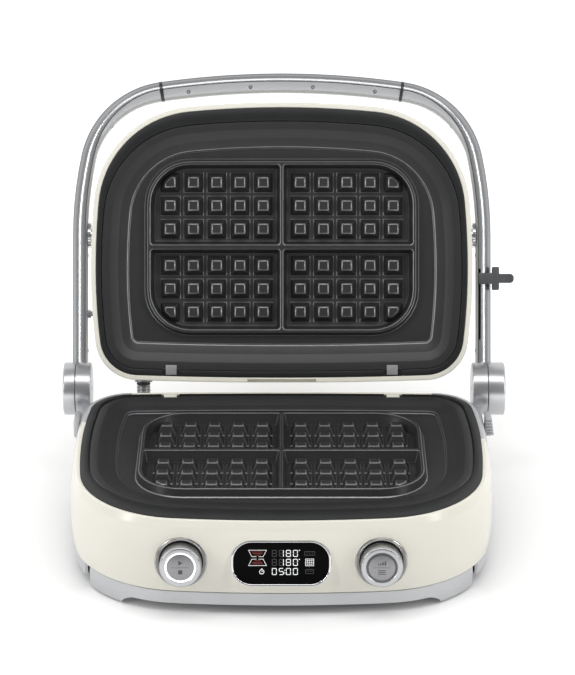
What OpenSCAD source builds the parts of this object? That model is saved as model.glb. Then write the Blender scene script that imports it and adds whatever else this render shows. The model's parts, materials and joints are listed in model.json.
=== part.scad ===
// Two-plate waffle maker with a floating lid carried in an arched handle.
// X runs across the front, Y from the front to the rear, Z up from the table.
// The lid and the handle are drawn closed and turned open about the hinge line.

/* [Base] */
// Width across the black rim of the base
rim_w = 384; // [360:1:400]
// Distance from the hinge line forward to the front of the black rim
rim_front = 293; // [280:1:310]
// Distance from the hinge line forward to the rear of the black rim
rim_rear = 12.5; // [12:0.5:16]
// Distance from the hinge line forward to the widest line of base, plates and lid
wide_line = 120; // [110:1:130]
// Height of the parting plane, where the closed plates meet, above the table
parting_z = 95; // [90:1:105]
// Depth of the hinge line below the parting plane
hinge_drop = 1; // [0.8:0.1:1.5]
// Width of the cream lip around the black rim
lip = 4; // [3:0.5:5]
// How far the shell bulges beyond the black rim
bulge = 10; // [8:0.5:12]
// Height of the widest part of the shell
bulge_z = 50; // [45:1:56]
// Height of the seam between cream shell and silver skirt
seam_z = 23.5; // [21:0.5:26]
// Wall thickness of the moulded shells
wall = 2.6; // [2:0.1:3]
// Step from the shell in to the skirt at the seam
skirt_step = 1.2; // [0.8:0.1:1.6]
// Height of the skirt edge between the feet
skirt_z = 10; // [8:0.5:11]
// Height of the rubber feet
rubber_h = 2; // [1.5:0.5:3]
// Radius of a rubber foot
rubber_r = 6; // [5:0.5:6.5]
// How far the front feet of the skirt reach from its side towards the middle
foot_reach = 43; // [36:1:60]
// How far the front feet of the skirt reach back from its front
foot_back = 47; // [42:1:60]
// Length of the shaded groove behind each front foot
groove = 9; // [6:0.5:14]

/* [Lid] */
// How far the lid bezel stands inside the rim of the base on each side
lid_inset = 5.5; // [4:0.5:12]
// How far the lid bezel stands back from the rim of the base at the front
lid_setback = 11; // [8:0.5:16]
// Distance from the hinge line to the rear of the lid bezel
lid_rear = 11; // [10.5:0.5:14]
// Width of the cream lip around the lid bezel
lid_lip = 5.2; // [4:0.1:6]
// Height of the closed lid above the parting plane
lid_h = 60; // [54:1:66]
// Angle at which the lid stands open
open_angle = 113; // [100:1:120]

/* [Outline corners] */
// Corner radius at the front of rim, lid and plates
front_r = 100; // [90:1:104]
// Corner radius at the rear of rim, lid and plates
rear_r = 38; // [36:1:46]

/* [Plates] */
// Width of the black rim beside the lower plate
lower_border = 8; // [6:0.5:14]
// Width of the black bezel beside the upper plate
upper_border = 5.5; // [5:0.5:12]
// Width of the black bezel in front of the upper plate
front_border = 13.5; // [10:0.5:20]
// Width of the black bezel behind the upper plate
rear_border = 6.5; // [5:0.5:9]
// Clearance all round a plate in its bezel
plate_gap = 0.4; // [0.3:0.1:0.8]
// Depth of the plate rim below the parting plane
rim_depth = 2; // [1.8:0.1:2.4]
// Depth of the plate floor around the waffle frame
floor_depth = 9; // [8:0.5:10]
// Metal thickness of the plates
plate_t = 3; // [2.5:0.1:3.5]

/* [Waffles] */
// Distance from the side of the upper plate to the waffle frame
frame_side = 46; // [44:1:60]
// Distance from the front of the upper plate to the waffle frame
frame_front = 40.5; // [38:0.5:50]
// Distance from the rear of the upper plate to the waffle frame
frame_rear = 38.5; // [36:0.5:50]
// Outer corner radius of the waffle frame
frame_r = 43; // [36:1:46]
// Width of the flat land on top of the frame
land = 3; // [2.5:0.5:4]
// Depth of the waffle wells below the parting plane
well_depth = 13; // [12:0.5:14]
// Depth of the peg tops below the parting plane
peg_top = 4; // [3:0.5:5]
// Pegs across one waffle
pegs_across = 5; // [4:1:5]
// Pegs front to rear on one waffle
pegs_deep = 3; // [2:1:3]
// Distance from the middle of the frame to the middle of the first row of pegs, across
first_peg_x = 18.6; // [17:0.1:20]
// Distance from the middle of the frame to the middle of the first row of pegs, front to rear
first_peg_v = 18.4; // [17:0.1:20]
// Distance from the middle of the last row of pegs to the outside of the frame, across
last_peg_x = 22.8; // [21:0.1:26]
// Distance from the middle of the last row of pegs to the outside of the frame, front to rear
last_peg_v = 20.8; // [20:0.1:24]
// Width of a peg at its foot
peg_foot = 19; // [17:0.5:20]
// Width of a peg at its top
peg_head = 10; // [8:0.5:12]

/* [Handle] */
// Clearance between the lid and the inner covers of the arms
arm_gap = 3.8; // [1.2:0.1:5]
// How far the grip stands in front of the lid bezel
grip_reach = 35.5; // [30:0.5:42]
// Corner radius of the arch
arch_r = 94; // [88:1:98]
// Height of the arm's middle above the hinge line when closed
arm_up = 16; // [16:0.5:18]
// Thickness of arm and grip, measured up when closed
arm_t = 22; // [20:0.5:23]
// Width of the round part of an arm
arm_round = 13; // [12:0.5:14]
// Width of an arm with its inner cover
arm_full = 15.2; // [14.8:0.1:17.6]
// Width of the round part of the grip
grip_round = 8.5; // [8:0.5:10]
// Width of the grip with its inner cover
grip_full = 19.5; // [18:0.5:21]
// Distance from the outside of an arm to the end ring of the grip
grip_side = 90.2; // [88:0.1:110]
// Length of a grip end ring
ring_len = 3.2; // [2.5:0.1:4]
// Wall of the arm and grip tubes
tube_wall = 2; // [1.6:0.1:2.4]

/* [Hinges] */
// Radius of the hinge discs
disc_r = 26.4; // [25:0.2:27]
// How far the left turning disc stands out beyond its arm
disc_over = 7.3; // [5:0.1:10]
// How much further the right turning disc stands out
right_extra = 4.8; // [0:0.1:8]
// Thickness of the left turning disc
disc_w = 12; // [10:0.5:14]
// Width of the fixed hinge hub
hub_w = 15.5; // [14.5:0.5:17]
// Running gap between hub and disc, and round the hub
turn_gap = 0.5; // [0.4:0.1:0.8]
// Radius of the hinge pin
pin_r = 6; // [5:0.5:8]
// Running clearance of a pin in its bore, on the radius
pin_fit = 0.05; // [0.03:0.01:0.08]
// Forward end of the hinge bracket on the side of the base
bracket_front = 80; // [70:1:90]
// Lowest edge of the hinge bracket
bracket_z = 62; // [58:1:66]
// Distance from the hinge line to the lid pivots
pivot_v = 154; // [148:1:160]
// Radius of the ribbed lid pivots
pivot_r = 12.5; // [11:0.5:13]

/* [Controls] */
// Distance of each knob from the middle plane
knob_x = 91.3; // [86:0.1:96]
// Height of the knob centres
knob_z = 55; // [50:0.5:58]
// Backward lean of the control panel
panel_tilt = 8; // [6:0.5:10]
// Radius of the chrome ring around a knob
ring_r = 24; // [22:0.5:25]
// Radius of a knob cap
cap_r = 19.2; // [18:0.2:20]
// How far a knob cap stands out of the panel
cap_out = 17; // [14:0.5:20]
// Outer radius of the light ring in a knob
light_r = 14.4; // [14:0.1:15]
// Radius of the centre button
button_r = 12.5; // [12:0.1:12.8]
// Width of the display bezel
display_w = 91; // [80:1:100]
// Height of the display bezel
display_h = 44; // [40:1:46]
// Width of the chrome border around the display glass
display_border = 2.7; // [2:0.1:3.2]

/* [Cable guard] */
// Distance of the cable guard from the side of the lid bezel
guard_side = 47; // [42:0.5:56]
// Outer radius of the cable guard
guard_r = 6.9; // [6:0.1:7.5]
// Height at which the cable guard leaves the base
guard_z = 61; // [58:0.5:64]
// Radius of the cable guard's bend
guard_bend = 21.2; // [20:0.1:24]

/* [Hidden] */
$fn = 48;
eps = 0.01;
face_gap = 0.3;
hinge_z = parting_z - hinge_drop;
seal_gap = 0.5;
front_angle = 5.5;
front_side_angle = 85;
rear_angle = 2;
rear_side_angle = 83;
lid_w = rim_w - 2 * lid_inset;
lid_front = rim_front - lid_setback;
lower_w = rim_w - 2 * lower_border;
upper_w = lid_w - 2 * upper_border;
plate_front = lid_front - front_border;
plate_rear = lid_rear + rear_border;
frame_w = upper_w - 2 * frame_side;
frame_d = plate_front - plate_rear - frame_front - frame_rear;
frame_mid = (plate_front - frame_front + plate_rear + frame_rear) / 2;
pitch_x = (frame_w / 2 - first_peg_x - last_peg_x) / (pegs_across - 1);
pitch_v = (frame_d / 2 - first_peg_v - last_peg_v) / (pegs_deep - 1);
arch_w = lid_w + 2 * (lid_lip + arm_gap + arm_full);
arch_front = lid_front + grip_reach;
grip_half = arch_w / 2 - grip_side;
disc_out = arch_w / 2 + disc_over;
hub_split = disc_out - disc_w;
hub_in = hub_split - hub_w;
lower_grow = (lower_w - upper_w) / 2;
plate_front_r = front_r - 6;
plate_rear_r = rear_r - 5;
skirt_grow = bulge - 2.5 - skirt_step;
skirt_wall = 2.4;
bezel_h = 15;
tray_depth = 30;
tray_wall = 1.2;
tray_inset = 9;
element_r = 3.25;
block_bottom = well_depth + 2.5;
element_depth = block_bottom + face_gap + element_r;
arm_mid = hinge_drop - arm_up;
catch_x = lid_w / 2 - 75.5;
catch_w = 13;
guard_x = lid_w / 2 - guard_side;
panel_y = -(rim_front + bulge - 4);
plug_v = wide_line + 72;
plug_out = rim_w / 2 + 7.8;
post_x = rim_w / 2 - 100;
post_v = 42;
board_back = 26;
board_t = 1.6;
arch_top_angle = 8.2;
arch_side_angle = 77.7;
arch_reach = arch_front - pivot_v;
front_reach = cap_out * cos(panel_tilt) + (cap_r - 1.5) * sin(panel_tilt) - panel_y;
rear_reach = (lid_front - 12) * sin(open_angle - 90) + (lid_h - 12 + hinge_drop) * cos(open_angle - 90);
lever_out = arch_w / 2 + 22.3;
shift_x = (disc_out - lever_out) / 2;
shift_y = (front_reach - rear_reach) / 2;

// A quarter outline of three tangent arcs, as [across, forward, direction of the outward normal]
function quarter(w, reach, r, a, b) =
    let (m = w - r * (sin(b) - sin(a)),
         n = reach - r * (cos(a) - cos(b)),
         d = sin(a) * cos(b) - (1 - sin(b)) * (1 - cos(a)),
         end_r = (m * cos(b) - n * (1 - sin(b))) / d,
         side_r = (n * sin(a) - m * (1 - cos(a))) / d)
    concat(
        [for (i = [0 : 2]) let (t = a * i / 3) [end_r * sin(t), reach - end_r * (1 - cos(t)), t]],
        [for (i = [0 : 8]) let (t = a + (b - a) * i / 8)
            [(end_r - r) * sin(a) + r * sin(t), reach - end_r + (end_r - r) * cos(a) + r * cos(t), t]],
        [for (i = [1 : 3]) let (t = b + (90 - b) * i / 3) [w - side_r * (1 - sin(t)), side_r * cos(t), t]]);

// The closed outline of base, lid and plates, counter-clockwise from the middle of the front
function outline(w, front, rear, fr, rr, grow = 0) =
    let (f = quarter(w / 2 + grow, front - wide_line + grow, fr + grow, front_angle, front_side_angle),
         b = quarter(w / 2 + grow, wide_line - rear + grow, rr + grow, rear_angle, rear_side_angle),
         right = concat([for (p = f) [p[0], -wide_line - p[1]]],
                        [for (i = [len(b) - 2 : -1 : 0]) [b[i][0], b[i][1] - wide_line]]))
    concat(right, [for (i = [len(right) - 2 : -1 : 1]) [-right[i][0], right[i][1]]]);

function rim(grow = 0) = outline(rim_w, rim_front, rim_rear, front_r, rear_r, grow);
function lid_edge(grow = 0) =
    outline(lid_w + 2 * grow, lid_front + grow, lid_rear - grow, max(front_r + grow, 45), max(rear_r + grow, 22));
function plate_edge(extra, grow = 0) =
    outline(upper_w, plate_front, plate_rear, plate_front_r, plate_rear_r, extra + grow);
function at_z(points, z) = [for (p = points) [p[0], p[1], z]];

// How far the base shell stands outside the rim at a height
function shell_grow(z) = z > bulge_z
    ? lip + (bulge - lip) * sqrt(max(0, 1 - pow((z - bulge_z) / (parting_z - bulge_z), 2)))
    : bulge - 2.5 * pow((bulge_z - z) / (bulge_z - seam_z), 2);

// Rings of equal length joined into one closed surface, capped at both ends or joined end to end
module loft(rings, closed = false) {
    n = len(rings[0]);
    m = len(rings);
    points = [for (r = rings) each r];
    sides = [for (i = [0 : closed ? m - 1 : m - 2], j = [0 : n - 1])
        let (a = i * n + j, b = i * n + (j + 1) % n, c = ((i + 1) % m) * n + (j + 1) % n, d = ((i + 1) % m) * n + j)
        each [[a, d, c], [a, c, b]]];
    caps = closed ? [] : [[for (j = [0 : n - 1]) j], [for (j = [n - 1 : -1 : 0]) (m - 1) * n + j]];
    polyhedron(points, concat(sides, caps), convexity = 6);
}

// A rectangle with a radius of its own at each corner, counter-clockwise from the near right
function corner(x, y, r, from) = [for (i = [0 : 6]) [x + r * cos(from + 15 * i), y + r * sin(from + 15 * i)]];
function rounded(x0, x1, y0, y1, r) = concat(
    corner(x1 - r[0], y0 + r[0], r[0], -90), corner(x1 - r[1], y1 - r[1], r[1], 0),
    corner(x0 + r[2], y1 - r[2], r[2], 90), corner(x0 + r[3], y0 + r[3], r[3], 180));

module place() { translate([shift_x, shift_y, 0]) children(); }
module at_parting() { place() translate([0, 0, parting_z]) children(); }
module at_hinge() { place() translate([0, 0, hinge_z]) children(); }
// Drawn closed and upside down: the parting plane at zero and the lid below it
module in_lid() { at_hinge() rotate([-open_angle, 0, 0]) translate([0, 0, hinge_drop]) mirror([0, 0, 1]) children(); }
module both_sides() { children(); mirror([1, 0, 0]) children(); }
// The control panel, with its own Z pointing out of the base and its own Y up
module on_panel(x = 0) { place() translate([x, panel_y, knob_z]) rotate([90 - panel_tilt, 0, 0]) children(); }
module along_x(r, x0, x1) { translate([x0, 0, 0]) rotate([0, 90, 0]) cylinder(r = r, h = x1 - x0); }
module ring(points_out, points_in, z0, z1) {
    translate([0, 0, z0]) linear_extrude(z1 - z0) difference() { polygon(points_out); polygon(points_in); }
}
module slab(points, z0, z1) { translate([0, 0, z0]) linear_extrude(z1 - z0) polygon(points); }
module box(x0, x1, y0, y1, z0, z1) { translate([x0, y0, z0]) cube([x1 - x0, y1 - y0, z1 - z0]); }
module rounded_slab(w, h, r, z0, z1) {
    slab(rounded(-w / 2, w / 2, -h / 2, h / 2, [r, r, r, r]), z0, z1);
}

// Base

shell_steps = [seam_z, seam_z + 12, bulge_z, bulge_z + 16, parting_z - 18, parting_z - 8, parting_z - 3];
function shell_wall(z, inset) = at_z(rim(max(face_gap, shell_grow(z) - inset)), z);

module shell_solid(grow = 0) {
    loft(concat([for (z = shell_steps) at_z(rim(shell_grow(z) + grow), z)],
                [at_z(rim(lip + grow), parting_z - 1.2), at_z(rim(lip - 1.2), parting_z - seal_gap)]));
}

module corner_notch(gap) {
    both_sides()
        box(150 - gap, rim_w, -bracket_front - gap, rim_w, bracket_z - gap, parting_z + 1);
}

module base_shell() {
    color("#EAE8DC") place() difference() {
        loft(concat([for (z = shell_steps) shell_wall(z, 0)],
                    [at_z(rim(lip), parting_z - 1.2), at_z(rim(lip - 1.2), parting_z - seal_gap),
                     at_z(rim(face_gap), parting_z - seal_gap)],
                    [for (i = [len(shell_steps) - 1 : -1 : 0]) shell_wall(shell_steps[i], wall)]), closed = true);
        corner_notch(0);
        for (x = [-knob_x, knob_x]) translate([x, panel_y, knob_z]) rotate([90 - panel_tilt, 0, 0])
            translate([0, 0, -20]) cylinder(r = ring_r + 0.1, h = 40);
        translate([0, panel_y, knob_z]) rotate([90 - panel_tilt, 0, 0])
            rounded_slab(display_w + 0.4, display_h + 0.4, display_h / 2 - 3, -12, 20);
        translate([0, -plug_v, bulge_z + 1]) along_x(10.6, -rim_w, -rim_w / 2 + 30);
        translate([-guard_x, 0, guard_z]) rotate([90, 0, 0]) cylinder(r = guard_r + 2.1, h = 40, center = true);
    }
}

foot_x = rim_w / 2 - foot_reach;
foot_front = rim_front - foot_back;
foot_rear_x = rim_w / 2 - 64;
foot_rear = rim_rear + 53.5;

// The front feet end in a slope towards the middle
module foot_areas(z0, z1) {
    both_sides() {
        translate([0, -foot_front, 0]) rotate([90, 0, 0]) linear_extrude(rim_front)
            polygon([[foot_x, z0], [foot_x - 7.5, skirt_z], [foot_x - 7.5, z1], [rim_w, z1], [rim_w, z0]]);
        box(foot_rear_x, foot_rear_x + 100, -foot_rear, 30, z0, z1);
    }
}

module base_skirt() {
    color("#B4B6B8") place() difference() {
        skirt_solid();
        intersection() {
            ring(rim(skirt_grow + 2), rim(skirt_grow - skirt_wall + 0.8), 0, seam_z - 0.8);
            both_sides() box(foot_x, rim_w, -foot_front - eps, groove - foot_front, 0, seam_z);
        }
    }
}

module skirt_solid() {
    union() {
        ring(rim(skirt_grow), rim(skirt_grow - skirt_wall), skirt_z, seam_z);
        intersection() {
            union() {
                ring(rim(skirt_grow), rim(skirt_grow - skirt_wall), rubber_h, skirt_z);
                slab(rim(skirt_grow - skirt_wall + eps), rubber_h, rubber_h + 3);
            }
            foot_areas(0, seam_z);
        }
    }
}

module bottom_plate() {
    color("#3C3E40") place() difference() {
        slab(rim(skirt_grow - skirt_wall - face_gap), skirt_z + 1, skirt_z + 3.5);
        for (i = [-6 : 6], s = [-1, 1])
            box(i * 16 - 4, i * 16 + 4, -wide_line + s * 70 - 14, -wide_line + s * 70 + 14, 0, seam_z);
        for (sx = [-1, 1], sy = [-1, 1]) translate([sx * post_x, -wide_line + sy * post_v, 0]) cylinder(r = 2, h = seam_z);
    }
}

function foot_spots() = [for (s = [-1, 1], p = [[rim_w / 2 - 35, rim_front - 39], [rim_w / 2 - 46, rim_rear + 28]])
    [s * p[0], -p[1]]];

module rubber_feet() {
    color("#202020") place() for (p = foot_spots()) translate(p) cylinder(r = rubber_r, h = rubber_h);
}

// A deep ring that holds a plate: flat land at the parting plane, hollow underneath
module bezel(edge, edge_in, extra) {
    difference() {
        ring(edge, plate_edge(extra, plate_gap), -bezel_h, -seal_gap);
        ring(edge_in, plate_edge(extra, plate_gap + 2.4), -bezel_h - 1, -seal_gap - 3);
        for (s = [-1, 1])
            box(s * catch_x - catch_w / 2 - 2.5, s * catch_x + catch_w / 2 + 2.5, -plate_rear - 10, 0,
                -seal_gap - 1.6, 1);
    }
}

module lower_bezel() { color("#1E1F20") at_parting() bezel(rim(), rim(-2.4), lower_grow); }

module heater_tray(extra) {
    ring(plate_edge(extra, -tray_inset), plate_edge(extra, -tray_inset - tray_wall),
         -tray_depth, -rim_depth - plate_t - face_gap);
    ring(plate_edge(extra, -1), plate_edge(extra, -tray_inset),
         -rim_depth - plate_t - face_gap - tray_wall, -rim_depth - plate_t - face_gap);
    slab(plate_edge(extra, -tray_inset), -tray_depth - tray_wall, -tray_depth);
}

module lower_heater_tray() { color("#A9ABAD") at_parting() heater_tray(lower_grow); }

// A tubular element in four runs joined by round ends, with both tails turned down to the tray.
// Its stations are [place, direction, side].
element_run = frame_w / 2 - 22;
element_pitch = 38;
tail_bend = 8;

function turn_left(y) = [for (i = [0 : 8]) let (t = i * 22.5, q = element_pitch / 2)
    [[-element_run - q * sin(t), y - q * cos(t), 0], [-cos(t), sin(t), 0], [-sin(t), -cos(t), 0]]];
function turn_right(y) = [for (i = [0 : 8]) let (t = i * 22.5, q = element_pitch / 2)
    [[element_run + q * sin(t), y - q * cos(t), 0], [cos(t), sin(t), 0], [-sin(t), cos(t), 0]]];
function tail(y, s) = concat(
    [[[element_run + tail_bend, y, element_depth - tray_depth], [0, 0, -s], [0, s, 0]]],
    [for (i = [0 : 3]) let (t = i * 30)
        [[element_run + tail_bend * cos(t), y, tail_bend * (sin(t) - 1)], [s * sin(t), 0, -s * cos(t)], [0, s, 0]]]);
element_path = let (last = tail(1.5 * element_pitch, 1)) concat(
    tail(-1.5 * element_pitch, -1), turn_left(-element_pitch), turn_right(0), turn_left(element_pitch),
    [for (i = [len(last) - 1 : -1 : 0]) last[i]]);

module heating_element() {
    translate([0, -frame_mid, -element_depth])
        loft([for (e = element_path) [for (i = [0 : 11])
            e[0] + element_r * (cos(30 * i) * e[2] + sin(30 * i) * cross(e[1], e[2]))]]);
}

module lower_heating_element() { color("#6E6A66") at_parting() heating_element(); }

// The raised frame and everything cut into it, seen with the parting plane at zero
module well_space(inset) {
    half = frame_w / 2;
    d0 = frame_mid - frame_d / 2;
    d1 = frame_mid + frame_d / 2;
    for (sx = [-1, 1], sy = [-1, 1]) {
        r = frame_r - land;
        far = sy < 0 ? d1 - land : d0 + land;
        near = frame_mid - sy * 2.3;
        top = rounded(min(sx * 1.4, sx * (half - land)), max(sx * 1.4, sx * (half - land)),
                      min(-far, -near), max(-far, -near),
                      [sx > 0 && sy < 0 ? r : 3, sx > 0 && sy > 0 ? r : 3,
                       sx < 0 && sy > 0 ? r : 3, sx < 0 && sy < 0 ? r : 3]);
        low = rounded(min(sx * 5, sx * (half - land - 3)) + inset, max(sx * 5, sx * (half - land - 3)) - inset,
                      min(-far - 3 * sy, -near + 3 * sy) + inset, max(-far - 3 * sy, -near + 3 * sy) - inset,
                      [sx > 0 && sy < 0 ? r - 3 : 3, sx > 0 && sy > 0 ? r - 3 : 3,
                       sx < 0 && sy > 0 ? r - 3 : 3, sx < 0 && sy < 0 ? r - 3 : 3]);
        loft(inset > 0 ? [at_z(low, -well_depth - 1), at_z(low, 0)]
                       : [at_z(low, -well_depth), at_z(top, -1 + eps)]);
    }
}

module pegs() {
    for (sx = [-1, 1], sy = [-1, 1], i = [0 : pegs_across - 1], j = [0 : pegs_deep - 1])
        translate([sx * (first_peg_x + i * pitch_x), -frame_mid + sy * (first_peg_v + j * pitch_v), -well_depth - eps])
            hull() {
                translate([-peg_foot / 2, -peg_foot / 2, 0]) cube([peg_foot, peg_foot, 0.4]);
                translate([-peg_head / 2, -peg_head / 2, 0]) cube([peg_head, peg_head, well_depth - peg_top]);
            }
}

module waffle_plate(extra) {
    half = frame_w / 2;
    d0 = -frame_mid - frame_d / 2;
    d1 = -frame_mid + frame_d / 2;
    difference() {
        union() {
            loft([at_z(plate_edge(extra, -27), -floor_depth - plate_t),
                  at_z(plate_edge(extra, -11), -rim_depth - plate_t - 4),
                  at_z(plate_edge(extra, -10.5), -rim_depth - plate_t),
                  at_z(plate_edge(extra, 0), -rim_depth - plate_t),
                  at_z(plate_edge(extra, 0), -rim_depth),
                  at_z(plate_edge(extra, -7.5), -rim_depth),
                  at_z(plate_edge(extra, -16.3), -floor_depth + 3.4),
                  at_z(plate_edge(extra, -25.7), -floor_depth + 2.6),
                  at_z(plate_edge(extra, -27), -floor_depth)]);
            loft([at_z(rounded(-half - 2.5, half + 2.5, d0 - 2.5, d1 + 2.5,
                               [frame_r, frame_r, frame_r, frame_r]), -block_bottom),
                  at_z(rounded(-half - 2.5, half + 2.5, d0 - 2.5, d1 + 2.5,
                               [frame_r + 2, frame_r + 2, frame_r + 2, frame_r + 2]), -floor_depth),
                  at_z(rounded(-half, half, d0, d1, [frame_r, frame_r, frame_r, frame_r]), -1)]);
        }
        well_space(0);
    }
    intersection() {
        pegs();
        well_space(3);
    }
}

module lower_waffle_plate() { color("#3A3A3A") at_parting() waffle_plate(lower_grow); }

// Hooked tabs that hold a plate at its rear edge
module catches(extra, edge) {
    for (s = [-1, 1])
        box(s * catch_x - catch_w / 2, s * catch_x + catch_w / 2, extra - plate_rear - 6, -edge - 2.6,
            -seal_gap - 1.4, -seal_gap);
}

module lower_plate_catches() { color("#EAE8DC") at_parting() catches(lower_grow, rim_rear); }

module tray_posts() {
    color("#8E9092") place() for (sx = [-1, 1], sy = [-1, 1])
        translate([sx * post_x, -wide_line + sy * post_v, skirt_z + 3.5])
            difference() {
                cylinder(r = 5, h = parting_z - tray_depth - tray_wall - skirt_z - 3.5);
                translate([0, 0, -1]) cylinder(r = 2, h = 12);
            }
}

module post_screws() {
    color("#8E9092") place() for (sx = [-1, 1], sy = [-1, 1])
        translate([sx * post_x, -wide_line + sy * post_v, skirt_z - 1]) {
            cylinder(r = 3.6, h = 2);
            cylinder(r = 1.9, h = 14);
        }
}

module side_plug() {
    color("#EAE8DC") place() translate([0, -plug_v, bulge_z + 1]) along_x(10.4, -plug_out, 4.8 - plug_out);
}

// Control panel

module display_bezel() {
    color("#C8C8C8") on_panel() difference() {
        rounded_slab(display_w, display_h, display_h / 2 - 3, -4, 6);
        rounded_slab(display_w - 2 * display_border, display_h - 2 * display_border,
                     display_h / 2 - 3 - display_border, -5, 7);
    }
}

module display_window() {
    color("#050505") on_panel()
        rounded_slab(display_w - 2 * display_border - 0.2, display_h - 2 * display_border - 0.2,
                     display_h / 2 - 3.1 - display_border, 1, 5);
}

module display_module() {
    color("#24282A") on_panel() rounded_slab(display_w - 16, display_h - 12, 2, -board_back, 1 - 0.1);
}

module control_board() {
    color("#1F5A38") on_panel() translate([0, 0, -board_back - board_t])
        rounded_slab(2 * knob_x + 40, 36, 3, 0, board_t - 0.1);
}

module knob_ring() {
    difference() {
        translate([0, 0, -10]) cylinder(r = ring_r, h = 12.5);
        translate([0, 0, -11]) cylinder(r = cap_r + 0.8, h = 12);
        translate([0, 0, 1 - eps]) cylinder(r1 = cap_r + 0.8, r2 = ring_r - 1.4, h = 1.6);
    }
}

module encoder() {
    translate([0, 0, -board_back]) difference() {
        cylinder(r = cap_r + 0.7, h = board_back - 11);
        translate([0, 0, 6]) cylinder(r = light_r + 0.01, h = board_back);
    }
}

module light_ring() {
    difference() {
        translate([0, 0, -board_back + 6.1]) cylinder(r = light_r, h = board_back - 6.1 + cap_out - 0.4);
        translate([0, 0, -board_back + 5]) cylinder(r = button_r + 0.15, h = 80);
    }
}

module knob() {
    difference() {
        union() {
            translate([0, 0, 0.5]) cylinder(r = cap_r, h = cap_out - 2);
            translate([0, 0, cap_out - 1.5]) cylinder(r1 = cap_r, r2 = cap_r - 1.5, h = 1.5);
            translate([0, 0, -9.9]) cylinder(r = cap_r - 1, h = 11);
        }
        translate([0, 0, -11]) cylinder(r = light_r + 0.1, h = 60);
    }
}

module button() {
    translate([0, 0, cap_out - 4.4]) cylinder(r = button_r, h = 4);
    translate([0, 0, -board_back + 7.5]) cylinder(r = 3, h = board_back - 7.5 + cap_out - 4);
}

module left_knob_ring() { color("#D0D0D0") on_panel(-knob_x) knob_ring(); }
module right_knob_ring() { color("#D0D0D0") on_panel(knob_x) knob_ring(); }
module left_encoder() { color("#3A3F44") on_panel(-knob_x) encoder(); }
module right_encoder() { color("#3A3F44") on_panel(knob_x) encoder(); }
module left_light_ring() { color("#FFFFFF") on_panel(-knob_x) light_ring(); }
module right_light_ring() { color("#6A6A6A") on_panel(knob_x) light_ring(); }
module left_knob() { color("#C4C4C4") on_panel(-knob_x) knob(); }
module right_knob() { color("#C4C4C4") on_panel(knob_x) knob(); }
module left_button() { color("#A8A8A8") on_panel(-knob_x) button(); }
module right_button() { color("#A8A8A8") on_panel(knob_x) button(); }

module power_board() {
    color("#1F5A38") place() {
        box(-40, 60, -wide_line - 30, -wide_line + 30, skirt_z + 3.5, skirt_z + 5.1);
        translate([20, -wide_line, skirt_z + 5.1 - eps]) cube([30, 22, 20]);
        translate([-20, -wide_line - 10, skirt_z + 5.1 - eps]) cylinder(r = 8, h = 22);
    }
}

// Mains inlet, low on the rear of the skirt
module cord_gland() {
    color("#2A2A2A") place() translate([rim_w / 2 - 82, -rim_rear + skirt_grow + face_gap, skirt_z + 6.8]) rotate([-90, 0, 0]) difference() {
        cylinder(r = 6.2, h = 3);
        translate([0, 0, -1]) cylinder(r = 3.6, h = 6);
    }
}

// Hinges

module bracket() {
    difference() {
        union() {
            intersection() {
                difference() {
                    shell_solid();
                    slab(rim(face_gap), 0, parting_z + 10);
                }
                box(150, rim_w, -bracket_front + face_gap, 20, bracket_z + face_gap, parting_z + 1);
            }
            translate([0, 0, hinge_z]) along_x(disc_r, hub_in, hub_split - turn_gap);
            difference() {
                hull() {
                    translate([0, 0, hinge_z]) along_x(disc_r - 18, hub_in, boss_x);
                    box(hub_in - 14.5, boss_x, 12 - bracket_front, 46 - bracket_front, bracket_z + 4, parting_z - 9);
                }
                slab(rim(3), 0, parting_z + 10);
            }
        }
        translate([0, 0, hinge_z]) along_x(pin_r, hub_in - 1, disc_out);
    }
}

module left_hinge_bracket() { color("#C9CACC") place() mirror([1, 0, 0]) bracket(); }
module right_hinge_bracket() { color("#C9CACC") place() bracket(); }

module hinge_pins() {
    color("#8C8E90") at_hinge() {
        mirror([1, 0, 0]) along_x(pin_r - eps, hub_in + 1, disc_out - 3);
        along_x(pin_r - eps, hub_in + 1, disc_out + right_extra - 3);
    }
}

lever_v = 50;
lever_z = parting_z - 19;
boss_x = hub_in + 8.5;

// A thumb lever with ribs across it, on a short pin at its lower end
module release_lever() {
    color("#BFC0C2") place() translate([0, -lever_v, lever_z]) {
        difference() {
            union() {
                box(boss_x + 1.5, boss_x + 8, -12, 8, -6, 13);
                for (i = [0 : 5]) translate([0, 0, -4 + i * 3.2]) box(boss_x + 1.5, boss_x + 8, -13.6, eps - 12, 0, 1.6);
            }
            along_x(2.55, boss_x, boss_x + 7);
        }
    }
}

module release_lever_pin() {
    color("#8C8E90") place() translate([0, -lever_v, lever_z]) along_x(2.5, boss_x, boss_x + 6.9);
}

// A plain cap on the left in the place of the lever
module blank_cap() {
    color("#BFC0C2") place() translate([-boss_x - 6, -lever_v - 12, lever_z - 8]) cube([6 - eps, 26, 18]);
}

module friction_washers() {
    color("#8C8E90") at_hinge() both_sides() difference() {
        along_x(disc_r - 5, hub_split - turn_gap, hub_split - pin_fit);
        along_x(pin_r + pin_fit, hub_split - 2, hub_split + 2);
    }
}

module hinge_disc(extra) {
    translate([0, 0, hinge_drop]) difference() {
        along_x(disc_r, hub_split, disc_out + extra);
        along_x(pin_r + pin_fit, hub_split - 1, disc_out + extra - 2.5);
    }
}

module left_hinge_disc() { color("#D4D5D7") in_lid() mirror([1, 0, 0]) hinge_disc(0); }
module right_hinge_disc() { color("#D4D5D7") in_lid() hinge_disc(right_extra); }

// Handle: frames along the outer edge as [across, forward, direction of the outward normal]

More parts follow.
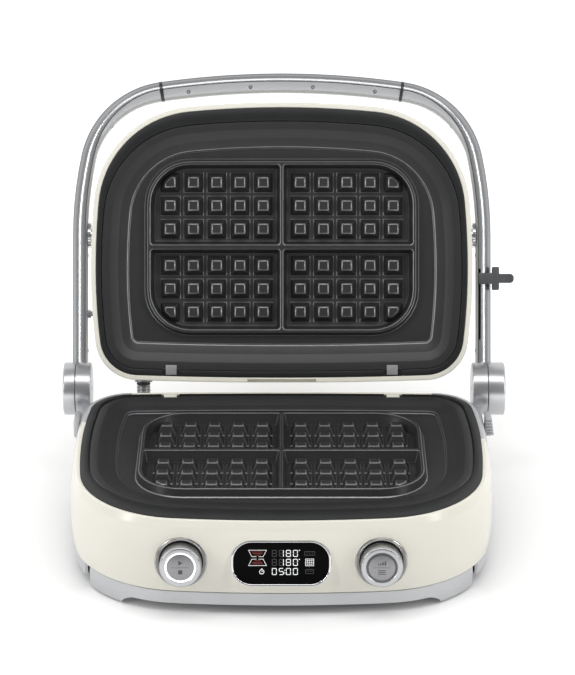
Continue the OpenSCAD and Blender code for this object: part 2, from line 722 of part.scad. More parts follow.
arch = quarter(arch_w / 2, arch_reach, arch_r, arch_top_angle, arch_side_angle);
grip_r = let (m = arch_w / 2 - arch_r * (sin(arch_side_angle) - sin(arch_top_angle)),
              n = arch_reach - arch_r * (cos(arch_top_angle) - cos(arch_side_angle)),
              d = sin(arch_top_angle) * cos(arch_side_angle)
                  - (1 - sin(arch_side_angle)) * (1 - cos(arch_top_angle)))
    (m * cos(arch_side_angle) - n * (1 - sin(arch_side_angle))) / d;
grip_angle = asin(grip_half / grip_r);
ring_angle = asin((grip_half + ring_len) / grip_r);
function top_frame(t) = [grip_r * sin(t), arch_reach - grip_r * (1 - cos(t)), t];
function spread(t) = min(1, max(0, (75 - abs(t)) / 60));
function round_w(t) = arm_round + (grip_round - arm_round) * spread(t);
function full_w(t) = arm_full + (grip_full - arm_full) * spread(t);

// A section point, measured inward from the outer edge and along Z, set at a frame
function at_frame(f, n, z) = [f[0] - n * sin(f[2]), -pivot_v - f[1] + n * cos(f[2]), arm_mid + z];
function tube_ring(f, skin, grow = 0) = let (w = round_w(f[2]) - 2 * skin)
    [for (i = [0 : 10]) let (a = 90 - 18 * i)
        at_frame(f, skin - grow + (w + grow) * (1 - cos(a)), (arm_t / 2 - skin + grow) * sin(a))];
function cover_ring(f) = let (a = round_w(f[2]), b = full_w(f[2]))
    [at_frame(f, a, arm_t / 2 - 1), at_frame(f, a, -arm_t / 2 + 1), at_frame(f, b - 1.5, -arm_t / 2 + 3),
     at_frame(f, b, -arm_t / 2 + 5.5), at_frame(f, b, arm_t / 2 - 5.5), at_frame(f, b - 1.5, arm_t / 2 - 3)];
function full_ring(f) = let (b = full_w(f[2])) concat(
    [for (i = [0 : 10]) let (a = 90 - 18 * i)
        at_frame(f, -0.4 + (round_w(f[2]) + 0.4) * (1 - cos(a)), (arm_t / 2 + 0.4) * sin(a))],
    [at_frame(f, b - 1, -arm_t / 2 + 2.5), at_frame(f, b + 0.4, -arm_t / 2 + 5),
     at_frame(f, b + 0.4, arm_t / 2 - 5), at_frame(f, b - 1, arm_t / 2 - 2.5)]);

arm_frames = concat([top_frame(ring_angle)], [for (f = arch) if (f[2] > ring_angle + 1) f],
                    [[arch_w / 2, 16 - pivot_v, 90]]);
grip_frames = [for (i = [-5 : 5]) top_frame(grip_angle * i / 5)];

module tube_along(frames) {
    n = len(frames);
    loft(concat([for (f = frames) tube_ring(f, 0)],
                [for (i = [n - 1 : -1 : 0]) tube_ring(frames[i], tube_wall)]), closed = true);
}

// The arm ends round the fixed hub and stands on the turning disc
module hub_space() {
    translate([0, 0, hinge_drop]) {
        along_x(disc_r + turn_gap, hub_in - 10, hub_split);
        along_x(disc_r, hub_split - eps, disc_out + 10);
    }
}

pivot_end = arch_w / 2 - 11.7;
slot_v0 = 49;
slot_v1 = 120.5;

module arm_tube(slotted) {
    difference() {
        tube_along(arm_frames);
        hub_space();
        translate([0, -pivot_v, arm_mid]) along_x(5 + pin_fit, pivot_end - 9, pivot_end + 4);
        if (slotted) box(arch_w / 2 - arm_round, arch_w / 2 - arm_round + 2.6, -slot_v1, -slot_v0, arm_mid, 10);
    }
}

guide_v = 75;
guide_end = arch_w / 2 - 14.7;
guide_up = -arm_t / 2 + 16;
swing = 5;

module arm_cover(guided) {
    difference() {
        loft([for (f = arm_frames) cover_ring(f)]);
        hub_space();
        translate([0, -pivot_v, arm_mid]) along_x(5 + pin_fit, pivot_end - 9, pivot_end + 4);
        if (guided) translate([guide_end - 8, -pivot_v, arm_mid]) rotate([90, 0, 90]) linear_extrude(9) hull()
            for (k = [0, 1]) rotate([0, 0, -k * swing]) translate([pivot_v - guide_v, guide_up]) circle(r = 3.2);
        for (f = screw_frames) arm_screw_at(f, 2.1, 8);
    }
}

// Small screws through the inner covers of the arms
screw_frames = [arch[8], [arch_w / 2, 134 - pivot_v, 90], [arch_w / 2, 38 - pivot_v, 90]];
module arm_screw_at(f, r, h) {
    translate(at_frame(f, full_w(f[2]) - 2, 0)) rotate([0, 0, f[2] - 90]) rotate([0, -90, 0])
        cylinder(r = r, h = h);
}

module left_arm_tube() { color("#BFC0C2") in_lid() mirror([1, 0, 0]) arm_tube(false); }
module right_arm_tube() { color("#BFC0C2") in_lid() arm_tube(true); }
module left_arm_cover() { color("#B2B3B5") in_lid() mirror([1, 0, 0]) arm_cover(true); }
module right_arm_cover() { color("#B2B3B5") in_lid() arm_cover(false); }

module arm_screws() {
    color("#55585A") in_lid() both_sides() for (f = screw_frames) arm_screw_at(f, 2, 2.1);
}

module grip_shell() { color("#C6C7C9") in_lid() tube_along(grip_frames); }

grip_screw_x = [for (k = [-1, -1 / 3, 1 / 3, 1]) k * (grip_half - 25.3)];
module grip_screw(x, r, top) {
    f = top_frame(asin(x / grip_r));
    translate(at_frame(f, grip_full - 5.5, arm_t / 2 - 5)) cylinder(r = r, h = top);
}

module grip_cover() {
    color("#B6B7B9") in_lid() difference() {
        loft([for (f = grip_frames) cover_ring(f)]);
        for (x = grip_screw_x) grip_screw(x, 2.1, 10);
    }
}

module grip_rings() {
    color("#5A5C5E") in_lid() both_sides() loft([full_ring(top_frame(grip_angle)), full_ring(top_frame(ring_angle))]);
}

module grip_screws() { color("#55585A") in_lid() for (x = grip_screw_x) grip_screw(x, 2, 3.4); }

// Lid

lid_steps = [[0, -lid_h, 76], [1, -lid_h + 1.4, 52], [2, -lid_h + 5, 30], [3, -lid_h + 12, 12],
             [4, -lid_h + 21, 2], [5, -lid_h + 32, 0.6 - lid_lip], [6, -20, -lid_lip], [7, -4, -lid_lip],
             [8, -seal_gap, 1.2 - lid_lip]];

module lid_shell() {
    color("#EAE8DC") in_lid() difference() {
        loft(concat([for (s = lid_steps) at_z(lid_edge(-s[2]), s[1])],
                    [at_z(lid_edge(face_gap), -seal_gap), at_z(lid_edge(face_gap), -8)],
                    [for (i = [6 : -1 : 1]) at_z(lid_edge(-lid_steps[i][2] - wall), lid_steps[i][1] + wall * 0.8)]));
        both_sides() translate([0, -pivot_v, arm_mid]) along_x(7 + pin_fit, 180, 200);
        translate([0, -pivot_v, arm_mid]) rotate([90, 0, 90]) translate([pivot_v - guide_v, guide_up, -200])
            cylinder(r = 2.6 + pin_fit, h = 20);
        box(-34, 34, lid_lip - lid_rear - 3.5, 0, -10, 1);
    }
}

module lid_bezel() { color("#1E1F20") in_lid() bezel(lid_edge(), lid_edge(-2.4), 0); }
module upper_heater_tray() { color("#A9ABAD") in_lid() heater_tray(0); }
module upper_heating_element() { color("#6E6A66") in_lid() heating_element(); }
module upper_waffle_plate() { color("#3A3A3A") in_lid() waffle_plate(0); }
module upper_plate_catches() { color("#8A8C8E") in_lid() catches(0, lid_rear); }

module ribbed(r, depth, count, x0, x1) {
    translate([x0, 0, 0]) rotate([0, 90, 0]) linear_extrude(x1 - x0)
        polygon([for (i = [0 : 4 * count - 1]) let (a = i * 90 / count, q = i % 4 < 2 ? r : r - depth)
            [q * cos(a), q * sin(a)]]);
}

// Ribbed pivots between lid and arms, on which the lid floats
module lid_pivot() {
    translate([0, -pivot_v, arm_mid]) {
        ribbed(pivot_r, 1.2, 16, lid_w / 2 + lid_lip + 0.4, arch_w / 2 - arm_full - 0.6);
        along_x(5, lid_w / 2 + face_gap, pivot_end);
        along_x(7, lid_w / 2 + face_gap, lid_w / 2 + lid_lip + 0.5);
    }
}

module left_lid_pivot() { color("#8E9092") in_lid() mirror([1, 0, 0]) lid_pivot(); }
module right_lid_pivot() { color("#8E9092") in_lid() lid_pivot(); }

module guide_pin() {
    color("#8E9092") in_lid() translate([0, -guide_v, arm_mid + guide_up]) {
        mirror([1, 0, 0]) {
            along_x(2.6, lid_w / 2 + face_gap, guide_end);
            ribbed(4.2, 0.8, 8, lid_w / 2 + lid_lip + 0.4, arch_w / 2 - arm_full - 0.6);
        }
    }
}

// A sliding lever on the right arm that sets the height at which the lid stays open
module height_lever() {
    color("#4A4C4E") in_lid() translate([0, -110.5, arm_mid + arm_t / 2]) {
        box(arch_w / 2 - arm_round + 0.2, lever_out, -5.5, 5.5, face_gap, face_gap + 3);
        box(arch_w / 2 - arm_round + 0.2, arch_w / 2 - arm_round + 2.4, -5, 5, -8, face_gap + eps);
        box(arch_w / 2 + 0.7, arch_w / 2 + 7.7, -11.7, 11.7, -7, face_gap + 3.4);
    }
}

// A corrugated guard for the wires between base and lid
guard_tail = 6;
lid_gland_z = 17.5;

module cable_guard() {
    color("#9A9C9E") place() translate([-guard_x, 9 - rim_rear, guard_z + guard_bend]) {
        rotate([0, 90, 0]) rotate_extrude(angle = 90) translate([guard_bend, 0]) circle(r = guard_r);
        translate([0, guard_bend, -eps]) cylinder(r = guard_r, h = guard_tail);
    }
}

module base_gland() {
    color("#3C3E40") place() translate([-guard_x, 9 - rim_rear, guard_z]) rotate([90, 0, 0]) difference() {
        cylinder(r = guard_r + 2, h = 8);
        translate([0, 0, -1]) cylinder(r = guard_r - 2, h = 12);
    }
}

// The upper end of the guard enters the rear of the lid
module lid_gland() {
    color("#3C3E40") in_lid() translate([-guard_x, lid_lip - 1.2 - lid_rear, -lid_gland_z]) rotate([-90, 0, 0]) difference() {
        cylinder(r = guard_r + 2.6, h = 5.5);
        translate([0, 0, 2]) cylinder(r = guard_r + 0.7, h = 5);
    }
}

base_shell();
base_skirt();
bottom_plate();
rubber_feet();
lower_bezel();
lower_heater_tray();
lower_heating_element();
lower_waffle_plate();
lower_plate_catches();
tray_posts();
side_plug();
display_bezel();
display_window();
display_module();
control_board();
power_board();
left_knob_ring();
right_knob_ring();
left_encoder();
right_encoder();
left_light_ring();
right_light_ring();
left_knob();
right_knob();
left_button();
right_button();
left_hinge_bracket();
right_hinge_bracket();
hinge_pins();
release_lever();
friction_washers();
release_lever_pin();
blank_cap();
post_screws();
cord_gland();
left_arm_tube();
right_arm_tube();
left_arm_cover();
right_arm_cover();
left_hinge_disc();
right_hinge_disc();
grip_shell();
grip_cover();
grip_rings();
grip_screws();
arm_screws();
lid_shell();
lid_bezel();
upper_heater_tray();
upper_heating_element();
upper_waffle_plate();
upper_plate_catches();
left_lid_pivot();
right_lid_pivot();
guide_pin();
height_lever();
cable_guard();
base_gland();
lid_gland();
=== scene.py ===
import json
import math

import bmesh
import bpy
from mathutils import Matrix, Vector


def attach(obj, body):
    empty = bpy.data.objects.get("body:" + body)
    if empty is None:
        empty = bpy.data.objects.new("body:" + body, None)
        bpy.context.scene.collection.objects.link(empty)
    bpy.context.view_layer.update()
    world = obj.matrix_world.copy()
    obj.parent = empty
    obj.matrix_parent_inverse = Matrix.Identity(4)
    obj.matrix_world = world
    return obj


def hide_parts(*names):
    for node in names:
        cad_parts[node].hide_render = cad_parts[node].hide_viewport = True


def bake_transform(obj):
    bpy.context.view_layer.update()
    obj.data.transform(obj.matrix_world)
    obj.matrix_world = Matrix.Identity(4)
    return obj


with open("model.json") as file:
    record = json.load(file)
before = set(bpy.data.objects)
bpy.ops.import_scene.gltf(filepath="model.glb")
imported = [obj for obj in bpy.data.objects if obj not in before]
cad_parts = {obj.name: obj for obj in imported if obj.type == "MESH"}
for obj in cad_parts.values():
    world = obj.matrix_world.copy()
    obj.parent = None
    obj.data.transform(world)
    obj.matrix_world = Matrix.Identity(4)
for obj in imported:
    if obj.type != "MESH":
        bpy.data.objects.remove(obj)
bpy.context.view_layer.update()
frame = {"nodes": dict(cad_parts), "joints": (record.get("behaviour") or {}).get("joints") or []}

# All shapes are drawn in millimetres, in the base's own space or the closed lid's, and set in place at the end.
# There x runs across, z up, and v is a distance forward of the hinge line, along -y.
mm = 0.001
hinge = next(j for j in frame["joints"] if j["name"] == "lid_hinge")
hingePoint = Vector(hinge["pos_m"])
openAngle = -hinge["range_deg"][0]
partingZ = 95
hingeDrop = 1
wideLine = 120  # forward distance from the hinge line to the widest line

baseSpace = Matrix.Translation((hingePoint.x, hingePoint.y, 0)) @ Matrix.Scale(mm, 4)
lidSpace = (Matrix.Translation(hingePoint) @ Matrix.Rotation(math.radians(-openAngle), 4, "X")
            @ Matrix.Scale(mm, 4) @ Matrix.Translation((0, 0, hingeDrop)))


# Mesh helpers

def turnBy(degrees, axis):
    return Matrix.Rotation(math.radians(degrees), 4, axis)


def moveBy(x, y, z):
    return Matrix.Translation((x, y, z))


def sinOf(degrees):
    return math.sin(math.radians(degrees))


def cosOf(degrees):
    return math.cos(math.radians(degrees))


def vertsOf(geom):
    return [g for g in geom if isinstance(g, bmesh.types.BMVert)]


def edgesOf(geom):
    return [g for g in geom if isinstance(g, bmesh.types.BMEdge)]


def arcRadii(half, reach, radius, a, b):
    # radii of the two gentle arcs that meet a corner arc of this radius between angles a and b
    m = half - radius * (math.sin(b) - math.sin(a))
    n = reach - radius * (math.cos(a) - math.cos(b))
    d = math.sin(a) * math.cos(b) - (1 - math.sin(b)) * (1 - math.cos(a))
    return (m * math.cos(b) - n * (1 - math.sin(b))) / d, (n * math.sin(a) - m * (1 - math.cos(a))) / d


def spinArcs(bm, geom, arcs, z=0.0):
    # carries geometry round one arc centre after another; each arc is (centre x, centre y, degrees, steps)
    for cx, cy, degrees, steps in arcs:
        geom = bmesh.ops.spin(bm, geom=geom, cent=(cx, cy, z), axis=(0, 0, 1),
                              angle=math.radians(degrees), steps=steps)["geom_last"]
    return geom


frontCorner = (5.5, 85)  # degrees at which the front corner arc starts and ends
rearCorner = (2, 83)


def halfArcs(form, side):
    # the three arcs of the front (side -1) or rear (side 1) half, from the middle outwards
    front = side < 0
    reach = form["front"] - wideLine if front else wideLine - form["rear"]
    radius = form["frontRadius"] if front else form["rearRadius"]
    a, b = (math.radians(t) for t in (frontCorner if front else rearCorner))
    half = form["width"] / 2
    endR, sideR = arcRadii(half, reach, radius, a, b)
    endY = -wideLine + side * (reach - endR)
    arcs = [(0, endY, math.degrees(a), 5),
            ((endR - radius) * math.sin(a), endY + side * (endR - radius) * math.cos(a), math.degrees(b - a), 18),
            (half - sideR, -wideLine, 90 - math.degrees(b), 6)]
    return arcs if front else arcs[::-1]


def outlineLoop(bm, form, grow, z):
    # the closed outline shared by base, plates and lid, moved outwards by grow
    before = set(bm.edges)
    start = bm.verts.new((0, -form["front"] - grow, z))
    spinArcs(bm, [start], halfArcs(form, -1) + halfArcs(form, 1), z)
    edges = [e for e in bm.edges if e not in before]
    verts = list({v for e in edges for v in e.verts})
    bmesh.ops.mirror(bm, geom=verts + edges, axis="X", merge_dist=0.01)
    return [e for e in bm.edges if e not in before]


def bridge(bm, loops, closed=False):
    # joins loops of edges one after another into a skin
    after = loops[1:] + loops[:1] if closed else loops[1:]
    for a, b in zip(loops, after):
        heights = {round(v.co.z, 4) for e in a + b for v in e.verts}
        if len(heights) > 1:
            bmesh.ops.bridge_loops(bm, edges=a + b)
        else:
            bmesh.ops.triangle_fill(bm, use_beauty=True, use_dissolve=False, edges=a + b)


def capEnds(bm, loops):
    for end in (loops[0], loops[-1]):
        bmesh.ops.edgeloop_fill(bm, edges=end)


def outlineLoft(bm, form, stations, closed=True):
    bridge(bm, [outlineLoop(bm, form, grow, z) for grow, z in stations], closed)


def roundedLoop(bm, w, h, radius, z, cx=0, cy=0, segments=6):
    # a rectangle with rounded corners; radius is one number or four, from the near right round
    radii = radius if isinstance(radius, tuple) else (radius,) * 4
    before = set(bm.edges)
    spots = ((w / 2, -h / 2), (w / 2, h / 2), (-w / 2, h / 2), (-w / 2, -h / 2))
    ends = []
    for i, ((x, y), r) in enumerate(zip(spots, radii)):
        px, py = cx + x - math.copysign(r, x), cy + y - math.copysign(r, y)
        a = math.radians(-90 + 90 * i)
        first = bm.verts.new((px + r * math.cos(a), py + r * math.sin(a), z))
        last = bmesh.ops.spin(bm, geom=[first], cent=(px, py, z), axis=(0, 0, 1),
                              angle=math.radians(90), steps=segments)["geom_last"][0]
        ends.append((first, last))
    for i in range(4):
        bm.edges.new((ends[i][1], ends[(i + 1) % 4][0]))
    return [e for e in bm.edges if e not in before]


def roundedBlock(bm, w, h, radius, stations, cx=0, cy=0, segments=6):
    # a rounded slab through (inset, z) stations, closed at both ends
    loops = []
    for inset, z in stations:
        radii = tuple(max(0.05, r - inset) for r in (radius if isinstance(radius, tuple) else (radius,) * 4))
        loops.append(roundedLoop(bm, w - 2 * inset, h - 2 * inset, radii, z, cx, cy, segments))
    bridge(bm, loops)
    capEnds(bm, loops)


def lathe(bm, profile, steps=64, space=Matrix()):
    # turns an open or closed profile of (radius, z) round the Z axis
    verts = [bm.verts.new((r, 0, z)) for r, z in profile]
    edges = [bm.edges.new(pair) for pair in zip(verts, verts[1:])]
    if profile[0][0] > 0 or profile[-1][0] > 0:
        edges.append(bm.edges.new((verts[-1], verts[0])))
    before = set(bm.verts) - set(verts)
    bmesh.ops.spin(bm, geom=verts + edges, cent=(0, 0, 0), axis=(0, 0, 1), angle=math.tau,
                   steps=steps, use_merge=True)
    made = [v for v in bm.verts if v not in before]
    bmesh.ops.remove_doubles(bm, verts=made, dist=0.001)
    made = [v for v in bm.verts if v not in before]
    bmesh.ops.transform(bm, matrix=space, verts=made)
    return made


def cuboid(bm, low, high, bevel=0.0, segments=2, space=Matrix()):
    made = bmesh.ops.create_cube(bm, size=1)["verts"]
    low, high = Vector(low), Vector(high)
    bmesh.ops.scale(bm, vec=high - low, verts=made)
    bmesh.ops.translate(bm, vec=(low + high) / 2, verts=made)
    if bevel:
        edges = list({e for v in made for e in v.link_edges})
        faces = bmesh.ops.bevel(bm, geom=edges, offset=bevel, segments=segments, profile=0.5,
                                affect="EDGES", material=-1)["faces"]
        made = list({v for f in faces for v in f.verts})
    bmesh.ops.transform(bm, matrix=space, verts=made)
    return made


def newObject(name, data):
    made = bpy.data.objects.new(name, data)
    bpy.context.scene.collection.objects.link(made)
    return made


def carve(bm, cutter, operation="DIFFERENCE"):
    # cuts one closed mesh with another, or keeps what they share
    made = []
    for name, source in (("solid", bm), ("cutter", cutter)):
        bmesh.ops.remove_doubles(source, verts=source.verts, dist=0.001)
        bmesh.ops.recalc_face_normals(source, faces=source.faces)
        mesh = bpy.data.meshes.new(name)
        source.to_mesh(mesh)
        source.free()
        made.append(newObject(name, mesh))
    cut = made[0].modifiers.new("cut", "BOOLEAN")
    cut.object, cut.operation, cut.solver = made[1], operation, "EXACT"
    result = bmesh.new()
    result.from_mesh(made[0].evaluated_get(bpy.context.evaluated_depsgraph_get()).to_mesh())
    for o in made:
        bpy.data.meshes.remove(o.data)
    bmesh.ops.dissolve_degenerate(result, dist=0.0005, edges=result.edges)
    return result


def finishPiece(name, bm, space, body, slot, material, node=None, sharp=32, bevel=0.0):
    # merges, orients, places and shades a mesh, and sets it riding on its body in place of its CAD node
    bmesh.ops.remove_doubles(bm, verts=bm.verts, dist=0.001)
    bmesh.ops.recalc_face_normals(bm, faces=bm.faces)
    bmesh.ops.transform(bm, matrix=space, verts=bm.verts)
    mesh = bpy.data.meshes.new(name)
    bm.to_mesh(mesh)
    bm.free()
    piece = newObject(name, mesh)
    for polygon in mesh.polygons:
        polygon.use_smooth = True
    mesh.set_sharp_from_angle(angle=math.radians(sharp))
    if bevel:
        edge = piece.modifiers.new("edge", "BEVEL")
        edge.width, edge.segments, edge.limit_method = bevel * mm, 2, "ANGLE"
        edge.angle_limit, edge.use_clamp_overlap = math.radians(40), True
    mesh.materials.append(material)
    if body:
        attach(piece, body)
    if node:
        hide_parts(node)
    return piece


# Materials

def hexColour(code):
    # sRGB hex to the linear colour that the shaders take
    channels = [int(code[i:i + 2], 16) / 255 for i in (1, 3, 5)]
    return [c / 12.92 if c <= 0.04045 else ((c + 0.055) / 1.055) ** 2.4 for c in channels] + [1]


def addNode(tree, kind, settings=None, links=None):
    node = tree.nodes.new("ShaderNode" + kind)
    for key, value in (settings or {}).items():
        if key in node.inputs:
            node.inputs[key].default_value = value
        else:
            setattr(node, key, value)
    for socket, source in (links or {}).items():
        tree.links.new(source, node.inputs[socket])
    return node


def newFinish(name, colour, second=None, spread=40.0, grain=0.8, bump=0.0, rough=0.4, roughSpread=0.05, **sockets):
    # colour drifts towards second over spread mm; grain is the size in mm of the bump and roughness pattern
    finish = bpy.data.materials.new(name)
    finish.use_nodes = True
    tree = finish.node_tree
    shader = tree.nodes["Principled BSDF"]
    for key, value in sockets.items():
        shader.inputs[key.replace("_", " ")].default_value = value
    place = addNode(tree, "TexCoord")
    if second:
        drift = addNode(tree, "TexNoise", {"Scale": 1 / (spread * mm), "Detail": 3},
                        {"Vector": place.outputs["Object"]})
        mixed = addNode(tree, "Mix", {"data_type": "RGBA", "A": hexColour(colour), "B": hexColour(second)},
                        {"Factor": drift.outputs["Fac"]})
        tree.links.new(mixed.outputs["Result"], shader.inputs["Base Color"])
    else:
        shader.inputs["Base Color"].default_value = hexColour(colour)
    fine = addNode(tree, "TexNoise", {"Scale": 1 / (grain * mm), "Detail": 2}, {"Vector": place.outputs["Object"]})
    level = addNode(tree, "MapRange", {"To Min": rough - roughSpread, "To Max": rough + roughSpread},
                    {"Value": fine.outputs["Fac"]})
    tree.links.new(level.outputs["Result"], shader.inputs["Roughness"])
    if bump:
        relief = addNode(tree, "Bump", {"Strength": 1, "Distance": bump * mm}, {"Height": fine.outputs["Fac"]})
        tree.links.new(relief.outputs["Normal"], shader.inputs["Normal"])
    return finish


# Gloss moulded ABS: crisp soft highlights on a warm white, with the faint waviness of a moulding
creamAbs = newFinish("glossMouldedAbs", "#EAE8DD", "#E5E2D5", spread=70, grain=5, bump=0.004, rough=0.24,
                     roughSpread=0.03, IOR=1.53)
# Silver painted ABS: a fine metal flake under a satin lacquer
skirtPaint = newFinish("silverPaintedAbs", "#C9CACC", "#BEC0C2", spread=45, grain=0.7, bump=0.003, rough=0.36,
                       roughSpread=0.08, Metallic=0.45, IOR=1.5)
# Fine-textured black PBT: the spark-eroded grain breaks up its highlights
bezelPbt = newFinish("texturedBlackPbt", "#131415", "#222324", spread=30, grain=0.9, bump=0.012, rough=0.42,
                     roughSpread=0.06, IOR=1.57, Specular_IOR_Level=0.3)
# Non-stick coating on die-cast aluminium: dark grey with pale mica specks and a soft sheen
nonStick = newFinish("nonStickCoatedAluminium", "#3B3B3C", "#333334", spread=25, grain=0.8, bump=0.010, rough=0.38,
                     roughSpread=0.07, Metallic=0.35, IOR=1.45)
# Non-stick colour on the edges of the casting made paler and more metallic: a painted highlight that stands in for the
# pale glint along each edge
edgeHighlightPaint = newFinish("paintedEdgeHighlight", "#88888A", "#6C6C6E", spread=12, grain=0.8, bump=0.004, rough=0.36,
                     roughSpread=0.06, Metallic=0.8, IOR=1.45)
# Satin anodised aluminium: pale grey metal with a bead-blasted bloom
satinAluminium = newFinish("satinAnodisedAluminium", "#AFB0B2", "#A7A8AA", spread=60, grain=0.5, bump=0.002,
                           rough=0.24, roughSpread=0.04, Metallic=0.78, Specular_Tint=(0.1, 0.1, 0.1, 1))
# Silver paint on die castings: an even pale grey with a soft sheen and fine metal grain
castPaint = newFinish("silverPaintedCasting", "#C3C4C6", "#B9BBBD", spread=40, grain=0.6, bump=0.003, rough=0.38,
                      Metallic=0.35, IOR=1.5)
# Satin die-cast zinc: a little softer and brighter than the tube
dieCast = newFinish("satinDieCastZinc", "#C9CACC", "#C0C1C4", spread=35, grain=0.9, bump=0.004, rough=0.29,
                    roughSpread=0.03, Metallic=0.95)
# Bright chrome plate: mirror bright with a breath of haze
chromePlate = newFinish("brightChromePlate", "#DCDCDD", "#D2D2D4", spread=20, grain=3, rough=0.1, roughSpread=0.03,
                        Metallic=1.0)
# Satin chrome on the rings: the same mirror under a fine brushed haze
satinChrome = newFinish("satinChromePlate", "#B4B2AE", "#A6A4A1", spread=20, grain=1.2, bump=0.002, rough=0.24,
                        roughSpread=0.04, Metallic=1.0)
# Satin painted ABS on the lid's plate catches: a soft even grey
catchAbs = newFinish("satinPaintedAbs", "#9C9C9D", "#929293", spread=9, grain=0.6, bump=0.004, rough=0.4,
                     Metallic=0.3, IOR=1.5)
# Opal polycarbonate over the lamps: an even white glow when lit, grey when not
opalLit = newFinish("opalPolycarbonateLit", "#FFFFFF", "#F4F6F8", spread=8, grain=0.8, rough=0.5,
                    Emission_Color=(1, 1, 1, 1), Emission_Strength=0.9)
opalUnlit = newFinish("opalPolycarbonateUnlit", "#5E5E60", "#68686A", spread=8, grain=0.8, rough=0.45, IOR=1.58)
# Black acrylic window: a deep gloss with clean reflections
windowAcrylic = newFinish("blackAcrylicWindow", "#040405", "#070708", spread=30, grain=4, rough=0.05,
                          roughSpread=0.02, IOR=1.49, Specular_IOR_Level=0.03)
# Printed window inks: dim unlit segments with a faint painted glow, and the red and white lit ones
inkDim = newFinish("dimSegmentInk", "#2A2A2C", "#232325", spread=3, grain=0.5, rough=0.35,
                   Emission_Color=(0.015, 0.015, 0.016, 1), Emission_Strength=0.6)
inkWhite = newFinish("litWhiteSegment", "#E8E8EA", "#D8D8DA", spread=3, grain=0.5, rough=0.35,
                     Emission_Color=(0.8, 0.8, 0.82, 1), Emission_Strength=0.5)
inkRed = newFinish("litRedSegment", "#8E3834", "#7A2E2B", spread=3, grain=0.5, rough=0.35,
                   Emission_Color=(0.2, 0.03, 0.025, 1), Emission_Strength=0.8)
# Moulded nylon: matt dark grey with a dry grain
leverNylon = newFinish("mouldedGreyNylon", "#4B4D50", "#434548", spread=10, grain=0.8, bump=0.01, rough=0.5,
                       roughSpread=0.06, IOR=1.53)
# Moulded rubber: dull black
footRubber = newFinish("mouldedRubber", "#1E1E1F", "#262627", spread=8, grain=0.7, bump=0.015, rough=0.75,
                       roughSpread=0.08, IOR=1.52)
# Aluminised pressed steel: dull silver with a light crystal bloom
pressedSteel = newFinish("aluminisedPressedSteel", "#A4A6A8", "#989A9D", spread=12, grain=2.0, bump=0.004, rough=0.38,
                         roughSpread=0.07, Metallic=1.0)
# Heater sheath steel: brown-grey from the heat
heaterSteel = newFinish("oxidisedHeaterSteel", "#6A625B", "#57514D", spread=15, grain=0.8, bump=0.004, rough=0.5,
                        roughSpread=0.08, Metallic=0.8)
# Glass-fibre board under green solder mask
boardMask = newFinish("solderMaskedBoard", "#1D5434", "#184A2D", spread=6, grain=0.5, bump=0.003, rough=0.4,
                      roughSpread=0.06, IOR=1.5)
# Zinc-plated steel screws and pins
platedSteel = newFinish("zincPlatedSteel", "#8F9194", "#84868A", spread=5, grain=0.6, bump=0.003, rough=0.33,
                        roughSpread=0.07, Metallic=1.0)
# Dark anodised aluminium on the grip's end rings
darkAnodised = newFinish("darkAnodisedAluminium", "#4C4E51", "#424447", spread=12, grain=0.6, bump=0.003, rough=0.35,
                         roughSpread=0.06, Metallic=0.85)
# Galvanised spiral conduit: bright crests over dull grooves
conduitSteel = newFinish("galvanisedConduit", "#9C9EA0", "#86888B", spread=6, grain=0.7, bump=0.006, rough=0.36,
                         roughSpread=0.08, Metallic=0.85)
# Dark moulded plastic of the inner parts
innerPlastic = newFinish("mouldedInnerPlastic", "#303336", "#292C2F", spread=15, grain=0.9, bump=0.01, rough=0.55,
                         roughSpread=0.06, IOR=1.53)


def spunFinish(name, space, colour, pitch):
    # turned aluminium: fine rings round the axis of this space, pitch mm apart, drawn as coarse as they need to show
    finish = newFinish(name, colour, grain=0.5, rough=0.28, Metallic=1.0)
    tree = finish.node_tree
    shader = tree.nodes["Principled BSDF"]
    place = addNode(tree, "TexCoord")
    axis = space.to_quaternion().inverted()
    turned = addNode(tree, "Mapping", {"Rotation": axis.to_euler(), "Location": -(axis @ space.to_translation())},
                     {"Vector": place.outputs["Object"]})
    rings = addNode(tree, "TexWave", {"wave_type": "RINGS", "rings_direction": "Z", "Scale": 0.314 / (pitch * mm),
                                      "Distortion": 0.4}, {"Vector": turned.outputs["Vector"]})
    relief = addNode(tree, "Bump", {"Strength": 1, "Distance": 0.006 * mm}, {"Height": rings.outputs["Fac"]})
    tree.links.new(relief.outputs["Normal"], shader.inputs["Normal"])
    return finish


print("materials ready")


# Base: a bulging cream shell over a silver skirt, with a black rim round the plate

baseForm = {"width": 384, "front": 293, "rear": 12.5, "frontRadius": 100, "rearRadius": 38}
base = {"lip": 4, "bulge": 10, "bulgeZ": 50, "seamZ": 23.5, "wall": 2.6, "topZ": 94.5, "lipRadius": 1.3,
        "steps": 16, "notchFront": {"left": 80, "right": 118}, "notchZ": 62}  # notches take the hinge brackets
panel = {"y": -299, "z": 55, "tilt": 8, "knobX": 91.3, "knobHole": 24.05}


def panelSpace(x=0.0):
    # Z points out of the control panel and Y up it
    return baseSpace @ moveBy(x, panel["y"], panel["z"]) @ turnBy(90 - panel["tilt"], "X")


def shellGrow(z):
    # how far the shell stands outside the rim's outline at this height
    if z > base["bulgeZ"]:
        rise = (z - base["bulgeZ"]) / (partingZ - base["bulgeZ"])
        return base["lip"] + (base["bulge"] - base["lip"]) * math.sqrt(max(0, 1 - rise ** 2))
    return base["bulge"] - 2.5 * ((base["bulgeZ"] - z) / (base["bulgeZ"] - base["seamZ"])) ** 2


